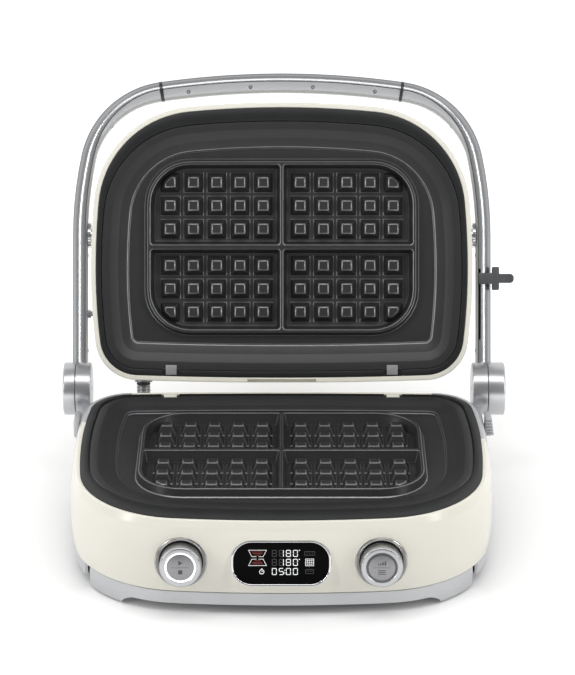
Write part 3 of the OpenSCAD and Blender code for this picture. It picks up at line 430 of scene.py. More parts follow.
def shellStations(extra=0.0, inner=None):
    # up the outer skin and down the inner one, or down a straight wall at inner
    r, n = base["lipRadius"], base["steps"]
    heights = [base["seamZ"] + (base["topZ"] - r - base["seamZ"]) * i / n for i in range(n)]
    outer = [(shellGrow(z) + extra, z) for z in heights]
    outer += [(base["lip"] - r + r * cosOf(t) + extra, base["topZ"] - r + r * sinOf(t)) for t in (0, 30, 60, 90)]
    if inner is None:
        return outer + [(0.3, base["topZ"] - 0.6), (0.3, 86)] + [
            (max(0.3, shellGrow(z) - base["wall"]), z) for z in heights[::-1] if z < 84]
    return outer + [(inner, base["topZ"]), (inner, base["seamZ"])]


def tool(parts):
    # one closed cutter out of several
    bm = bmesh.new()
    for part in parts:
        part(bm)
    return bm


def addTo(bm, part):
    # moves a finished part into a larger mesh
    mesh = bpy.data.meshes.new("part")
    part.to_mesh(mesh)
    part.free()
    bm.from_mesh(mesh)
    bpy.data.meshes.remove(mesh)


def cylinderAt(space, radius, z0, z1):
    return lambda bm: lathe(bm, [(0, z0), (radius, z0), (radius, z1), (0, z1)], space=space)


def boxAt(low, high, space=Matrix()):
    return lambda bm: cuboid(bm, low, high, space=space)


toBase = baseSpace.inverted()
acrossX = turnBy(90, "Y")
plug = {"v": 192, "z": 51, "radius": 9.6, "gap": 1.0}
plugSpace = moveBy(0, -plug["v"], plug["z"]) @ acrossX
notches = [boxAt((150, -base["notchFront"]["right"], base["notchZ"]), (230, 40, 110)),
           boxAt((-230, -base["notchFront"]["left"], base["notchZ"]), (-150, 40, 110))]
guard = {"x": -139.5, "radius": 6.9, "z": 61, "bend": 21.2, "hole": 9, "startY": -4.5, "bendY": -3.5, "bendSteps": 27,
         "straightSteps": 9, "pitch": 1.2, "swell": 0.88, "lidY": -3.2, "lidZ": 17.5}
displaySize = {"w": 91, "h": 44, "border": 2.1}


def displayHole(bm):
    made = bmesh.new()
    roundedBlock(made, displaySize["w"] + 0.4, displaySize["h"] + 0.4, displaySize["h"] / 2 - 2.8, [(0, -12), (0, 20)])
    made.transform(toBase @ panelSpace())
    addTo(bm, made)


bm = bmesh.new()
outlineLoft(bm, baseForm, shellStations())
bm = carve(bm, tool(notches + [
    displayHole,
    cylinderAt(toBase @ panelSpace(-panel["knobX"]), panel["knobHole"], -20, 20),
    cylinderAt(toBase @ panelSpace(panel["knobX"]), panel["knobHole"], -20, 20),
    cylinderAt(plugSpace, plug["radius"] + plug["gap"], -230, -170),
    cylinderAt(moveBy(guard["x"], 0, guard["z"]) @ turnBy(90, "X"), guard["hole"], -20, 20)]))
finishPiece("BaseShell", bm, baseSpace, "base", "cream_gloss", creamAbs, "base_shell")

bm = bmesh.new()
outlineLoft(bm, baseForm, shellStations(0.1, 2.0))
bm = carve(bm, tool([cylinderAt(plugSpace, plug["radius"], -230, -190)]), "INTERSECT")
finishPiece("SidePlug", bm, baseSpace, "base", "cream_gloss", creamAbs, "side_plug")
print("base shell ready")

skirt = {"grow": 6.3, "wall": 2.4, "edgeZ": 10, "footZ": 2, "arch": 6, "frontX": 149, "lean": 7.5, "rearX": 128,
         "frontV": 246, "rearV": 66, "groove": 9, "cornerX": 184, "cornerHalf": 35}


def archTool(bm):
    # the space under the skirt between the feet, with rounded upper corners; the front feet lean inwards
    upright = turnBy(90, "X")
    sideways = turnBy(-90, "Z") @ upright
    for low, high, near, far, lean, turn in (
            (-skirt["frontX"], skirt["frontX"], 140, 400, skirt["lean"], upright),
            (-skirt["rearX"], skirt["rearX"], -400, 160, 0, upright),
            (skirt["rearV"], skirt["frontV"], -400, 400, 0, sideways)):
        part = bmesh.new()
        roundedBlock(part, high - low, 40, skirt["arch"], [(0, near), (0, far)], cx=(high + low) / 2,
                     cy=skirt["edgeZ"] - 20)
        for v in part.verts:
            rise = max(0, (v.co.y - skirt["footZ"]) / (skirt["edgeZ"] - skirt["footZ"]))
            v.co.x -= math.copysign(lean * rise, v.co.x)
        part.transform(turn)
        addTo(bm, part)


# an upright groove behind each front foot
g, w = skirt["grow"], skirt["wall"]
groove = bmesh.new()
outlineLoft(groove, baseForm, [(g + 3, -1), (g + 3, base["seamZ"] - 0.9), (g - w - 0.6, base["seamZ"] - 0.9),
                               (g - w - 0.6, -1)])
x, half, y = skirt["cornerX"], skirt["cornerHalf"], -skirt["frontV"]
groove = carve(groove, tool([boxAt((s * x - half, y, -5), (s * x + half, skirt["groove"] + y, 40)) for s in (-1, 1)]),
               "INTERSECT")
bm = bmesh.new()
outlineLoft(bm, baseForm, [(g - 0.7, skirt["footZ"]), (g - 0.2, skirt["footZ"] + 0.6), (g, skirt["footZ"] + 2),
                           (g + 0.25, 14), (g, base["seamZ"] - 1.7), (g - 0.5, base["seamZ"] - 1.2),
                           (g - w, base["seamZ"] - 1.2), (g - w, skirt["footZ"])])
bm = carve(carve(bm, tool([archTool])), groove)
finishPiece("BaseSkirt", bm, baseSpace, "base", "silver_skirt", skirtPaint, "base_skirt", bevel=0.35)
print("skirt ready")

feet = {"radius": 6, "height": 2.4, "front": (baseForm["width"] / 2 - 35, baseForm["front"] - 39),
        "rear": (baseForm["width"] / 2 - 46, baseForm["rear"] + 28)}
bm = bmesh.new()
r, h = feet["radius"], feet["height"]
for s in (-1, 1):
    for x, v in (feet["front"], feet["rear"]):
        lathe(bm, [(0, 0), (r - 0.6, 0), (r, 0.6), (r, h), (0, h)], 32, moveBy(s * x, -v, 0))
finishPiece("RubberFeet", bm, baseSpace, "base", "rubber", footRubber, "rubber_feet")


# The black rims that hold the plates, and the plates themselves

lidForm = {"width": 373, "front": 282, "rear": 11, "frontRadius": 100, "rearRadius": 38}
plateForm = {"width": 362, "front": 268.5, "rear": 17.5, "frontRadius": 94, "rearRadius": 33}
plate = {"gap": 0.4, "lowerGrow": 3}
catch = {"x": 111, "w": 13, "slot": 2.5, "deep": 2.2, "lap": 6, "edge": 2.6}
rimSpace = baseSpace @ moveBy(0, 0, partingZ)


def rimRing(bm, form, extra, up):
    # up is -1 for the base and 1 for the lid: depth runs away from the parting plane
    def at(stations, which):
        return [outlineLoop(bm, which, grow, up * z) for grow, z in stations]
    r = 0.6
    loops = at([(0, 15), (0, 0.5 + r), (-0.3 * r, 0.5 + 0.3 * r), (-r, 0.5)], form)
    loops += at([(extra + plate["gap"] + r, 0.5), (extra + plate["gap"] + 0.3 * r, 0.5 + 0.3 * r),
                 (extra + plate["gap"], 0.5 + r), (extra + plate["gap"], 15)], plateForm)
    bridge(bm, loops, closed=True)


def catchSlots(up):
    half = catch["w"] / 2 + catch["slot"]
    z = sorted((up * -2, up * catch["deep"]))
    return [boxAt((s * catch["x"] - half, -plateForm["rear"] - 10, z[0]), (s * catch["x"] + half, 5, z[1]))
            for s in (-1, 1)]


def catchTabs(bm, up, extra, rear, w):
    # a rounded tab on each side, lying in its slot over the rear edge of the plate
    for s in (-1, 1):
        z = sorted((up * 0.5, up * 1.9))
        cuboid(bm, (s * catch["x"] - w / 2, extra - plateForm["rear"] - catch["lap"], z[0]),
               (s * catch["x"] + w / 2, -rear - catch["edge"], z[1]), bevel=0.5)


halves = (("Lower", -1, baseForm, plate["lowerGrow"], rimSpace, "base"), ("Upper", 1, lidForm, 0, lidSpace, "lid"))
for name, up, form, extra, space, body in halves:
    bm = bmesh.new()
    rimRing(bm, form, extra, up)
    bm = carve(bm, tool(catchSlots(up)))
    finishPiece(name + "Rim", bm, space, body, "black_bezel", bezelPbt, "lower_bezel" if up < 0 else "lid_bezel")
for name, up, form, extra, space, body in halves:
    tabWidth, slot, finish = ((catch["w"], "cream_gloss", creamAbs) if up < 0 else
                              (catch["w"] - 2, "guard_grey", catchAbs))
    bm = bmesh.new()
    catchTabs(bm, up, extra, form["rear"], tabWidth)
    finishPiece(name + "PlateCatches", bm, space, body, slot, finish, name.lower() + "_plate_catches")
print("rims ready")

waffle = {"w": 270, "d": 172, "mid": 142, "corner": 43, "land": 3, "depth": 13, "pegTop": 4, "across": 5, "deep": 3,
          "pitch": 23.4, "foot": 19, "head": 10, "firstX": 18.6, "firstV": 18.4, "bar": 1.4, "rib": 2.3,
          "edge": 0.95, "block": 15.5, "facet": 37.5}


def cornerRadii(sx, sy, big, small):
    # the outer corner of a well follows the frame, the others are tight
    outer = {(1, -1): 0, (1, 1): 1, (-1, 1): 2, (-1, -1): 3}[(sx, sy)]
    return tuple(big if i == outer else small for i in range(4))


def peg(bm, x, y, up, cut=None):
    # a square peg with bevelled edges and a low step round its foot, or with one corner cut away
    rise = waffle["depth"] - waffle["pegTop"]
    made = bmesh.ops.create_cone(bm, cap_ends=True, segments=4, radius1=waffle["foot"] / math.sqrt(2),
                                 radius2=waffle["head"] / math.sqrt(2), depth=rise)["verts"]
    bmesh.ops.rotate(bm, verts=made, matrix=Matrix.Rotation(math.radians(45), 3, "Z"))
    if up > 0:
        bmesh.ops.rotate(bm, verts=made, matrix=Matrix.Rotation(math.radians(180), 3, "X"))
    bmesh.ops.translate(bm, verts=made, vec=(x, y, up * (waffle["depth"] - rise / 2)))
    if cut:
        geom = made + list({e for v in made for e in v.link_edges}) + list({f for v in made for f in v.link_faces})
        sliced = bmesh.ops.bisect_plane(bm, geom=geom, plane_co=cut[0], plane_no=cut[1], clear_outer=True, dist=0.001)
        rimEdges = edgesOf(sliced["geom_cut"])
        bmesh.ops.edgeloop_fill(bm, edges=rimEdges)
        made = list({v for e in rimEdges for v in e.verts} | {v for v in made if v.is_valid})
    else:
        foot = bmesh.ops.create_cone(bm, cap_ends=True, segments=4, radius1=(waffle["foot"] + 1.6) / math.sqrt(2),
                                     radius2=(waffle["foot"] + 0.2) / math.sqrt(2), depth=0.45)["verts"]
        turn = turnBy(180 * (up > 0), "X") @ turnBy(45, "Z")
        bmesh.ops.transform(bm, verts=foot, matrix=moveBy(x, y, up * (waffle["depth"] - 0.225)) @ turn)
    floorZ = up * waffle["depth"]
    edges = [e for e in {e for v in made for e in v.link_edges} if any(abs(v.co.z - floorZ) > 0.01 for v in e.verts)]
    bmesh.ops.bevel(bm, geom=edges, offset=waffle["edge"], segments=1, affect="EDGES", material=-1)


def pegCut(sx, sy, up):
    # the slanted facet on a corner peg, parallel to the rounded corner of its well
    half, far = waffle["w"] / 2 - waffle["land"], waffle["d"] / 2 - waffle["land"]
    r = waffle["corner"] - waffle["land"]
    reach = waffle["facet"] / math.sqrt(2)
    point = (sx * (half - r + reach), -waffle["mid"] + sy * (far - r + reach), up * waffle["depth"])
    return point, Vector((sx * 0.632, sy * 0.632, -up * 0.447))


def wafflePlate(extra, up):
    bm = bmesh.new()
    w, d, y = waffle["w"], waffle["d"], -waffle["mid"]
    wells = []
    half, far = w / 2 - waffle["land"], d / 2 - waffle["land"]
    for sx in (-1, 1):
        for sy in (-1, 1):
            wide, tall = half - waffle["bar"], far - waffle["rib"]
            cx, cy = sx * (half + waffle["bar"]) / 2, y + sy * (far + waffle["rib"]) / 2
            loops = []
            for inset, z in ((-0.6, 1), (0.2, 1.5), (2.9, 11.6), (3.6, 12.6), (4.6, 13)):
                radii = cornerRadii(sx, sy, waffle["corner"] - waffle["land"] - inset, max(0.4, 3 - inset * 0.4))
                loops.append(roundedLoop(bm, wide - 2 * inset, tall - 2 * inset, radii, up * z, cx, cy, 8))
            bridge(bm, loops)
            bmesh.ops.edgeloop_fill(bm, edges=loops[-1])
            wells.append(loops[0])
            for i in range(waffle["across"]):
                for j in range(waffle["deep"]):
                    corner = i == waffle["across"] - 1 and j == waffle["deep"] - 1
                    px, py = waffle["firstX"] + i * waffle["pitch"], waffle["firstV"] + j * waffle["pitch"]
                    peg(bm, sx * px, y + sy * py, up, pegCut(sx, sy, up) if corner else None)
    walls = [roundedLoop(bm, w - 2 * inset, d - 2 * inset, waffle["corner"] - inset, up * z, 0, y, 8)
             for inset, z in ((0.8, 1), (0, 1.5), (-2.3, 8.2), (-3.3, 9))]
    bridge(bm, walls)
    bmesh.ops.triangle_fill(bm, use_beauty=True, use_dissolve=False, edges=walls[0] + [e for l in wells for e in l])
    rim = [outlineLoop(bm, plateForm, extra + grow, up * z) for grow, z in (
        (-27.4, 9), (-26.4, 8.3), (-26.0, 6.9), (-25.0, 6.3), (-17.2, 5.7), (-16.0, 5.2), (-8.4, 2.25), (-7.4, 2),
        (-0.9, 2), (0, 2.6), (0, 5), (-10.5, 5), (-11, 9), (-27, 12))]
    under = [roundedLoop(bm, w + 5, d + 5, waffle["corner"] + 2, up * z, 0, y, 8) for z in (12, waffle["block"])]
    bridge(bm, [walls[-1]] + rim + under)
    bmesh.ops.edgeloop_fill(bm, edges=under[-1])
    # the chamfers, which all slope alike, take the paler finish of painted edge highlight
    bm.normal_update()
    for face in bm.faces:
        face.material_index = int(0.76 < abs(face.normal.z) < 0.9)
    return bm


for name, up, form, extra, space, body in halves:
    piece = finishPiece(name + "WafflePlate", wafflePlate(extra, up), space, body, "nonstick_plate", nonStick,
                        name.lower() + "_waffle_plate", sharp=28)
    # the second finish is the painted highlight on the chamfers
    piece.data.materials.append(edgeHighlightPaint)
print("waffle plates ready")


# Lid: a crowned cream shell

crown = {"side": 5.2, "shoulder": 20, "top": 60, "inset": 80, "power": 0.87, "steps": 14, "lipRadius": 1.2}


def domeStations(side, low, high):
    turns, p = [math.radians(84 * i / (crown["steps"] - 1)) for i in range(crown["steps"])], crown["power"]
    return [(side - crown["inset"] * (1 - math.cos(t) ** p), low + (high - low) * math.sin(t) ** p) for t in turns]


def lidStations():
    # from the middle of the inner skin down to the lip and up the outer skin
    r = crown["lipRadius"]
    inner = domeStations(crown["side"] - 3, crown["shoulder"] - 1, crown["top"] - 2.6)
    lip = [(0.3, 16), (0.3, 1.1), (0.9, 0.5)]
    lip += [(crown["side"] - r + r * sinOf(t), 0.5 + r - r * cosOf(t)) for t in (0, 30, 60, 90)]
    return inner[::-1] + lip + domeStations(crown["side"], crown["shoulder"], crown["top"])


def lidLoop(bm, grow, z):
    # further in, the corners of the crown stay round
    form = {"width": lidForm["width"] + 2 * grow, "front": lidForm["front"] + grow, "rear": lidForm["rear"] - grow,
            "frontRadius": max(lidForm["frontRadius"] + grow, 45), "rearRadius": max(lidForm["rearRadius"] + grow, 22)}
    return outlineLoop(bm, form, 0, z)


bm = bmesh.new()
loops = [lidLoop(bm, grow, z) for grow, z in lidStations()]
bridge(bm, loops)
capEnds(bm, loops)
# the lip is open in the middle of the rear
openLip = {"half": 34.5, "v": 9.3, "z": 9}
bm = carve(bm, tool([boxAt((-openLip["half"], -openLip["v"], -1), (openLip["half"], 0, openLip["z"]))]))
finishPiece("LidShell", bm, lidSpace, "lid", "cream_gloss", creamAbs, "lid_shell")
print("lid ready")


# Handle: round tubes outside and flat covers inside, carried round the arch as one section

armMid = 15  # height of the arms' middle line above the parting plane
pivotV = 154
# the corner arc runs from a to b degrees; round and full are the widths of the tube and of tube and cover
arch = {"w": 421.4, "front": 317.5, "radius": 94, "a": 8.2, "b": 77.7, "t": 22, "roundArm": 13, "fullArm": 15.2,
        "roundGrip": 8.5, "fullGrip": 19.5, "gripHalf": 120.5, "ring": 3.2}
archReach = arch["front"] - pivotV
archEnd, archSide = arcRadii(arch["w"] / 2, archReach, arch["radius"], math.radians(arch["a"]), math.radians(arch["b"]))
gripAngle = math.degrees(math.asin(arch["gripHalf"] / archEnd))
ringAngle = math.degrees(math.asin((arch["gripHalf"] + arch["ring"]) / archEnd))
armSpace = lidSpace @ moveBy(0, 0, armMid)


def archWidths(turn):
    share = min(1, max(0, (75 - abs(turn)) / 60))
    return [arm + (grip - arm) * share for arm, grip in ((arch["roundArm"], arch["roundGrip"]),
                                                         (arch["fullArm"], arch["fullGrip"]))]


def archPoint(turn):
    # the outer edge of the arch where its outward normal has turned this far from straight ahead
    a, b, r = math.radians(arch["a"]), math.radians(arch["b"]), arch["radius"]
    t = math.radians(turn)
    if turn <= arch["a"]:
        return Vector((archEnd * math.sin(t), -pivotV - archReach + archEnd * (1 - math.cos(t)), 0))
    cx, cy = (archEnd - r) * math.sin(a), -pivotV - archReach + archEnd - (archEnd - r) * math.cos(a)
    if turn <= arch["b"]:
        return Vector((cx + r * math.sin(t), cy - r * math.cos(t), 0))
    return Vector((arch["w"] / 2 - archSide * (1 - math.sin(t)), -pivotV - archSide * math.cos(t), 0))


def sectionLoop(bm, spot, turn, points):
    # lays a closed section of (inward, up) points across the arch at a spot, facing the turn
    facing = moveBy(*spot) @ turnBy(turn, "Z")
    verts = [bm.verts.new(facing @ Vector((0, inward, up))) for inward, up in points]
    return [bm.edges.new(pair) for pair in zip(verts, verts[1:] + verts[:1])]


def tubeSection(turn):
    w, h = archWidths(turn)[0] - 0.15, arch["t"] / 2
    rounded = [(w - w * sinOf(t), h * cosOf(t)) for t in range(10, 171, 10)]
    edge = 0.5
    return [(w - 0.1, h - 0.02), *rounded, (w - 0.1, -h + 0.02), (w, -h + edge), (w, h - edge)][::-1]


def coverSection(turn):
    # the inner corners are rounded, less where the cover is thin
    (a, b), h = archWidths(turn), arch["t"] / 2
    k = min(1, (b - a - 0.7) / 3.2)
    upper = [(a + 0.15, h - 1.4), (a + 0.5, h - 1), (b - 3.2 * k, h - 1.6), (b - 1.4 * k, h - 2.8),
             (b - 0.4 * k, h - 4.2), (b, h - 5.8)]
    return upper + [(inward, -up) for inward, up in reversed(upper)]


def ringSection(turn):
    (a, b), h = archWidths(turn), arch["t"] / 2 + 0.35
    rounded = [(a - (a + 0.35) * sinOf(t), h * cosOf(t)) for t in range(10, 171, 10)]
    return ([(a, h)] + rounded + [(a, -h), (b - 3, -h + 1.3), (b - 1, -h + 2.6), (b + 0.3, -h + 5.4),
                                  (b + 0.3, h - 5.4), (b - 1, h - 2.6), (b - 3, h - 1.3)])[::-1]


def sweepArch(bm, turns, section, tail=()):
    # a closed body of one section along the arch; tail adds straight places by their forward distance
    loops = [sectionLoop(bm, archPoint(t), t, section(t)) for t in turns]
    loops += [sectionLoop(bm, Vector((arch["w"] / 2, -v, 0)), 90, section(90)) for v in tail]
    bridge(bm, loops)
    capEnds(bm, loops)


armTurns = ([ringAngle] + [ringAngle + (arch["b"] - ringAngle) * i / 22 for i in range(1, 23)]
            + [arch["b"] + (90 - arch["b"]) * i / 5 for i in range(1, 6)])
gripTurns = [gripAngle * i / 12 for i in range(-12, 13)]
slide = {"v0": 49, "v1": 120.5, "w": 2.4, "leverV": 110.5, "leverBar": 7.7, "leverOut": 233}
disc = {"radius": 26.4, "gap": 0.5, "in": 190.5, "split": 206, "out": {"left": 218, "right": 222.8},
        "z": -armMid - hingeDrop}
armTail = (140, 120, 100, 80, 60, 40, 16)


def discTool():
    # a stepped plug that clears the disc and the hub from the end of an arm
    bm = bmesh.new()
    r, split = disc["radius"], disc["split"]
    lathe(bm, [(0, 180), (r + 0.5, 180), (r + 0.5, split), (r, split), (r, 230), (0, 230)], 96,
          moveBy(0, 0, disc["z"]) @ acrossX)
    return bm


def mirrored(bm):
    bmesh.ops.scale(bm, vec=(-1, 1, 1), verts=bm.verts)
    bmesh.ops.recalc_face_normals(bm, faces=bm.faces)
    return bm


def finishSide(side, name, bm, space, body, slot, material, node, flip=True, **more):
    # one of a left and right pair, drawn on the right
    if flip and side == "left":
        bm = mirrored(bm)
    return finishPiece(side.title() + name, bm, space, body, slot, material, side + node, **more)


slotX = arch["w"] / 2 - arch["roundArm"]
for side in ("right", "left"):
    bm = bmesh.new()
    sweepArch(bm, armTurns, tubeSection, armTail)
    bm = carve(bm, discTool())
    if side == "right":
        bm = carve(bm, tool([boxAt((slotX - 0.4, -slide["v1"], -30), (slotX + slide["w"], -slide["v0"], -2))]))
    finishSide(side, "ArmTube", bm, armSpace, "arms", "satin_aluminium", satinAluminium, "_arm_tube")
    bm = bmesh.new()
    sweepArch(bm, armTurns, coverSection, armTail)
    bm = carve(bm, discTool())
    finishSide(side, "ArmCover", bm, armSpace, "arms", "satin_aluminium", castPaint, "_arm_cover")

bm = bmesh.new()
sweepArch(bm, gripTurns, tubeSection)
finishPiece("GripShell", bm, armSpace, "arms", "satin_aluminium", satinAluminium, "grip_shell")
bm = bmesh.new()
sweepArch(bm, gripTurns, coverSection)
finishPiece("GripCover", bm, armSpace, "arms", "satin_aluminium", castPaint, "grip_cover")
bm = bmesh.new()
sweepArch(bm, (gripAngle, ringAngle), ringSection)
sweepArch(bm, (-gripAngle, -ringAngle), ringSection)
finishPiece("GripRings", bm, armSpace, "arms", "dark_plastic", darkAnodised, "grip_rings", bevel=0.25)
print("handle ready")


def screwHead(bm, space):
    # a low dome with a round socket
    lathe(bm, [(0, 0.1), (0.95, 0.1), (0.95, 0.75), (1.5, 0.7), (2, 0.3), (2, -2)], 24, space)


screws = {"gripX": (-95.2, -31.8, 31.8, 95.2), "gripIn": 14, "gripZ": -9.4, "armV": (134, 38), "bend": 5 / 8}
bm = bmesh.new()
for x in screws["gripX"]:
    t = math.degrees(math.asin(x / archEnd))
    spot = archPoint(abs(t))
    spot.x = math.copysign(spot.x, x)
    screwHead(bm, moveBy(*spot) @ turnBy(t, "Z") @ moveBy(0, screws["gripIn"], screws["gripZ"]) @ turnBy(180, "X"))
finishPiece("GripScrews", bm, armSpace, "arms", "steel", platedSteel, "grip_screws")

bm = bmesh.new()
bend = arch["a"] + (arch["b"] - arch["a"]) * screws["bend"]
spots = [(archPoint(bend), bend)] + [(Vector((arch["w"] / 2, -v, 0)), 90) for v in screws["armV"]]
for s in (-1, 1):
    for spot, t in spots:
        sunk = moveBy(0, archWidths(t)[1] - 0.2, 0) @ turnBy(-90, "X")
        screwHead(bm, moveBy(s * spot.x, spot.y, 0) @ turnBy(s * t, "Z") @ sunk)
finishPiece("ArmScrews", bm, armSpace, "arms", "steel", platedSteel, "arm_screws")


def ribbedWheel(bm, r, deep, count, x0, x1, space):
    # a disc across x with square grooves round its edge
    made = bmesh.ops.create_circle(bm, cap_ends=True, radius=r, segments=4 * count)["verts"]
    made = sorted(made, key=lambda v: math.atan2(v.co.y, v.co.x))
    inner = [v for i, v in enumerate(made) if i % 4 > 1]
    bmesh.ops.scale(bm, vec=((r - deep) / r, (r - deep) / r, 1), verts=inner)
    face = list({f for v in made for f in v.link_faces})
    top = vertsOf(bmesh.ops.extrude_face_region(bm, geom=face)["geom"])
    bmesh.ops.translate(bm, vec=(0, 0, x1 - x0), verts=top)
    bmesh.ops.transform(bm, matrix=space @ acrossX @ moveBy(0, 0, x0), verts=made + top)


pivot = {"in": 186.8, "low": 192.1, "high": 194.9, "r": 12.5, "pinV": 75, "pinZ": -5}
a, low, high = pivot["in"], pivot["low"], pivot["high"]
place = moveBy(0, -pivotV, 0)
for side in ("left", "right"):
    bm = bmesh.new()
    ribbedWheel(bm, pivot["r"], 1.1, 20, low, high, place)
    lathe(bm, [(0, a), (7, a), (7, low + 0.1), (5, low + 0.1), (5, 199), (0, 199)], 32, place @ acrossX)
    lathe(bm, [(9.4, low), (9.4, high + 0.05), (10.2, high + 0.15), (10.8, high), (10.8, low)], 48, place @ acrossX)
    finishSide(side, "LidPivot", bm, armSpace, "lid", "steel", chromePlate, "_lid_pivot", sharp=25)
bm = bmesh.new()
place = moveBy(0, -pivot["pinV"], pivot["pinZ"])
lathe(bm, [(0, a), (2.6, a), (2.6, 196), (0, 196)], 24, place @ acrossX)
ribbedWheel(bm, 4.2, 0.7, 8, low, high, place)
finishPiece("GuidePin", mirrored(bm), armSpace, "lid", "steel", platedSteel, "guide_pin", sharp=25)

# The hinge: a disc that turns with the arm outside a fixed hub on the base
for side in ("left", "right"):
    bm = bmesh.new()
    r, a, b = disc["radius"], disc["split"], disc["out"][side]
    lathe(bm, [(0, a), (r - 0.5, a), (r, a + 0.5), (r, b - 1.6), (r - 0.25, b - 0.8), (r - 0.8, b - 0.25), (r - 1.6, b),
               (r - 5.4, b), (r - 5.8, b - 0.5), (r - 6.2, b - 0.9), (6, b - 0.5), (0, b - 0.4)], 96,
          moveBy(0, 0, disc["z"]) @ acrossX)
    finishSide(side, "HingeDisc", bm, armSpace, "arms", "die_cast", dieCast, "_hinge_disc")

bracket = {"gap": 0.35, "neck": 6, "neckV": 12, "boss": 199, "front": 68, "rear": 34, "low": 66, "high": 84}
hubSpace = moveBy(0, 0, partingZ - hingeDrop) @ acrossX
for side in ("left", "right"):
    skin = bmesh.new()
    gap = bracket["gap"]
    outlineLoft(skin, baseForm, shellStations(0.0, gap))
    low = (150, gap - base["notchFront"][side], base["notchZ"] + gap)
    skin = carve(skin, tool([boxAt(low, (230, 20, 110))]), "INTERSECT")
    neck = bmesh.new()
    lathe(neck, [(0, disc["in"]), (bracket["neck"], disc["in"]), (bracket["neck"], bracket["boss"] - 1.5),
                 (bracket["neck"] - 1.5, bracket["boss"]), (0, bracket["boss"])], 48,
          moveBy(0, -bracket["neckV"], bracket["high"] - bracket["neck"]) @ acrossX)
    cuboid(neck, (176, -bracket["front"], bracket["low"]), (bracket["boss"], -bracket["rear"], bracket["high"]), 2.5, 3)
    bmesh.ops.delete(neck, geom=neck.edges[:] + neck.faces[:], context="EDGES_FACES")
    made = bmesh.ops.convex_hull(neck, input=neck.verts, use_existing_faces=False)
    bmesh.ops.delete(neck, geom=list(set(vertsOf(made["geom_interior"] + made["geom_unused"]))), context="VERTS")
    rimSolid = bmesh.new()
    loops = [outlineLoop(rimSolid, baseForm, 2.5, z) for z in (10, 120)]
    bridge(rimSolid, loops)
    capEnds(rimSolid, loops)
    neck = carve(neck, rimSolid)
    bm = bmesh.new()
    for part in (skin, neck):
        for face in part.faces:
            face.material_index = 1
        addTo(bm, part)
    r, a, b = disc["radius"], disc["in"], disc["split"] - disc["gap"]
    lathe(bm, [(0, a + 0.5), (2.3, a + 0.5), (2.3, a), (r - 1.4, a), (r - 0.4, a + 0.4), (r, a + 1.4), (r, b - 0.4),
               (r - 0.4, b), (0, b)], 96, hubSpace)
    piece = finishSide(side, "HingeBracket", bm, baseSpace, "base", "die_cast", dieCast, "_hinge_bracket")
    piece.data.materials.append(castPaint)
print("hinges ready")

lever = {"v": 50, "z": partingZ - 19, "boss": 199, "ribs": 6, "pitch": 3.2, "lean": 0.42}
bm = bmesh.new()
x, y, z = lever["boss"], -lever["v"], lever["z"]
cuboid(bm, (x + 1.5, y - 12, z - 6), (x + 8, y + 8, z + 13), 1.6, 3)
for i in range(lever["ribs"]):
    # the lowest rib stands out furthest
    low, out = z - 4 + i * lever["pitch"], x + 1.7 + lever["lean"] * (lever["ribs"] - 1 - i)
    cuboid(bm, (out, y - 14, low), (out + 6.3, y - 10, low + 1.7), 0.5)
finishPiece("ReleaseLever", bm, baseSpace, "release_lever", "die_cast", castPaint, "release_lever")
bm = bmesh.new()
cuboid(bm, (-x - 6, y - 12, z - 8), (-x - 0.01, y + 14, z + 10), 1.8, 3)
finishPiece("BlankCap", bm, baseSpace, "base", "die_cast", castPaint, "blank_cap")

# a dark sheet in the slot of the right arm, in which the height lever slides: painted shade that stands in for the dark
# inside of the slot
bm = bmesh.new()
roundedBlock(bm, slide["w"] + 0.3, slide["v1"] - slide["v0"] - 0.2, 0.4, [(0, -2.9), (0, -2.2), (0.3, -1.9)],
             cx=slotX + slide["w"] / 2 - 0.2, cy=-(slide["v0"] + slide["v1"]) / 2)
finishPiece("SlotShadeSheet", bm, armSpace, "arms", "dark_plastic", footRubber)

bm = bmesh.new()
y, bar, out = -slide["leverV"], arch["w"] / 2 + slide["leverBar"], slide["leverOut"]
cuboid(bm, (slotX + 0.2, y - 5.5, -14.3), (bar, y + 5.5, -11.3), 0.7)
cuboid(bm, (slotX + 0.2, y - 5, -11.4), (slotX + 2.2, y + 5, -3), 0.3)
cuboid(bm, (bar - 7, y - 11.7, -14.7), (bar, y + 11.7, -4), 1.4, 3)
roundedBlock(bm, out - bar + 2, 9.2, (3.8, 3.8, 0.5, 0.5), [(0.6, -14.7), (0, -14.1), (0, -11.9), (0.6, -11.3)],
             cx=(out + bar) / 2 - 1, cy=y)
for i in range(-2, 3):
    cuboid(bm, (out - 6.2, y + i * 1.5 - 0.35, -14.9), (out - 2, y + i * 1.5 + 0.35, -14.5), 0.15, 1)
finishPiece("HeightLever", bm, armSpace, "height_lever", "lever_grey", leverNylon, "height_lever")

# The spiral guard for the wires: raised turns along a bend from the base up to the lid
bm = bmesh.new()
ring = bmesh.ops.create_circle(bm, segments=24, radius=guard["radius"])["verts"]
bmesh.ops.transform(bm, matrix=turnBy(90, "X"), verts=ring)
topZ = guard["z"] + guard["bend"]
bmesh.ops.translate(bm, vec=(guard["x"], guard["startY"], guard["z"]), verts=ring)
geom = ring + list({e for v in ring for e in v.link_edges})
bmesh.ops.edgeloop_fill(bm, edges=edgesOf(geom))


def swellRing(bm, geom, share):
    # narrow, wide and plain rings by turns make the spiral's ridges
    ends = vertsOf(geom)
    middle = sum((v.co for v in ends), Vector()) / len(ends)
    bmesh.ops.transform(bm, matrix=moveBy(*middle) @ Matrix.Scale(share, 4) @ moveBy(*-middle), verts=ends)


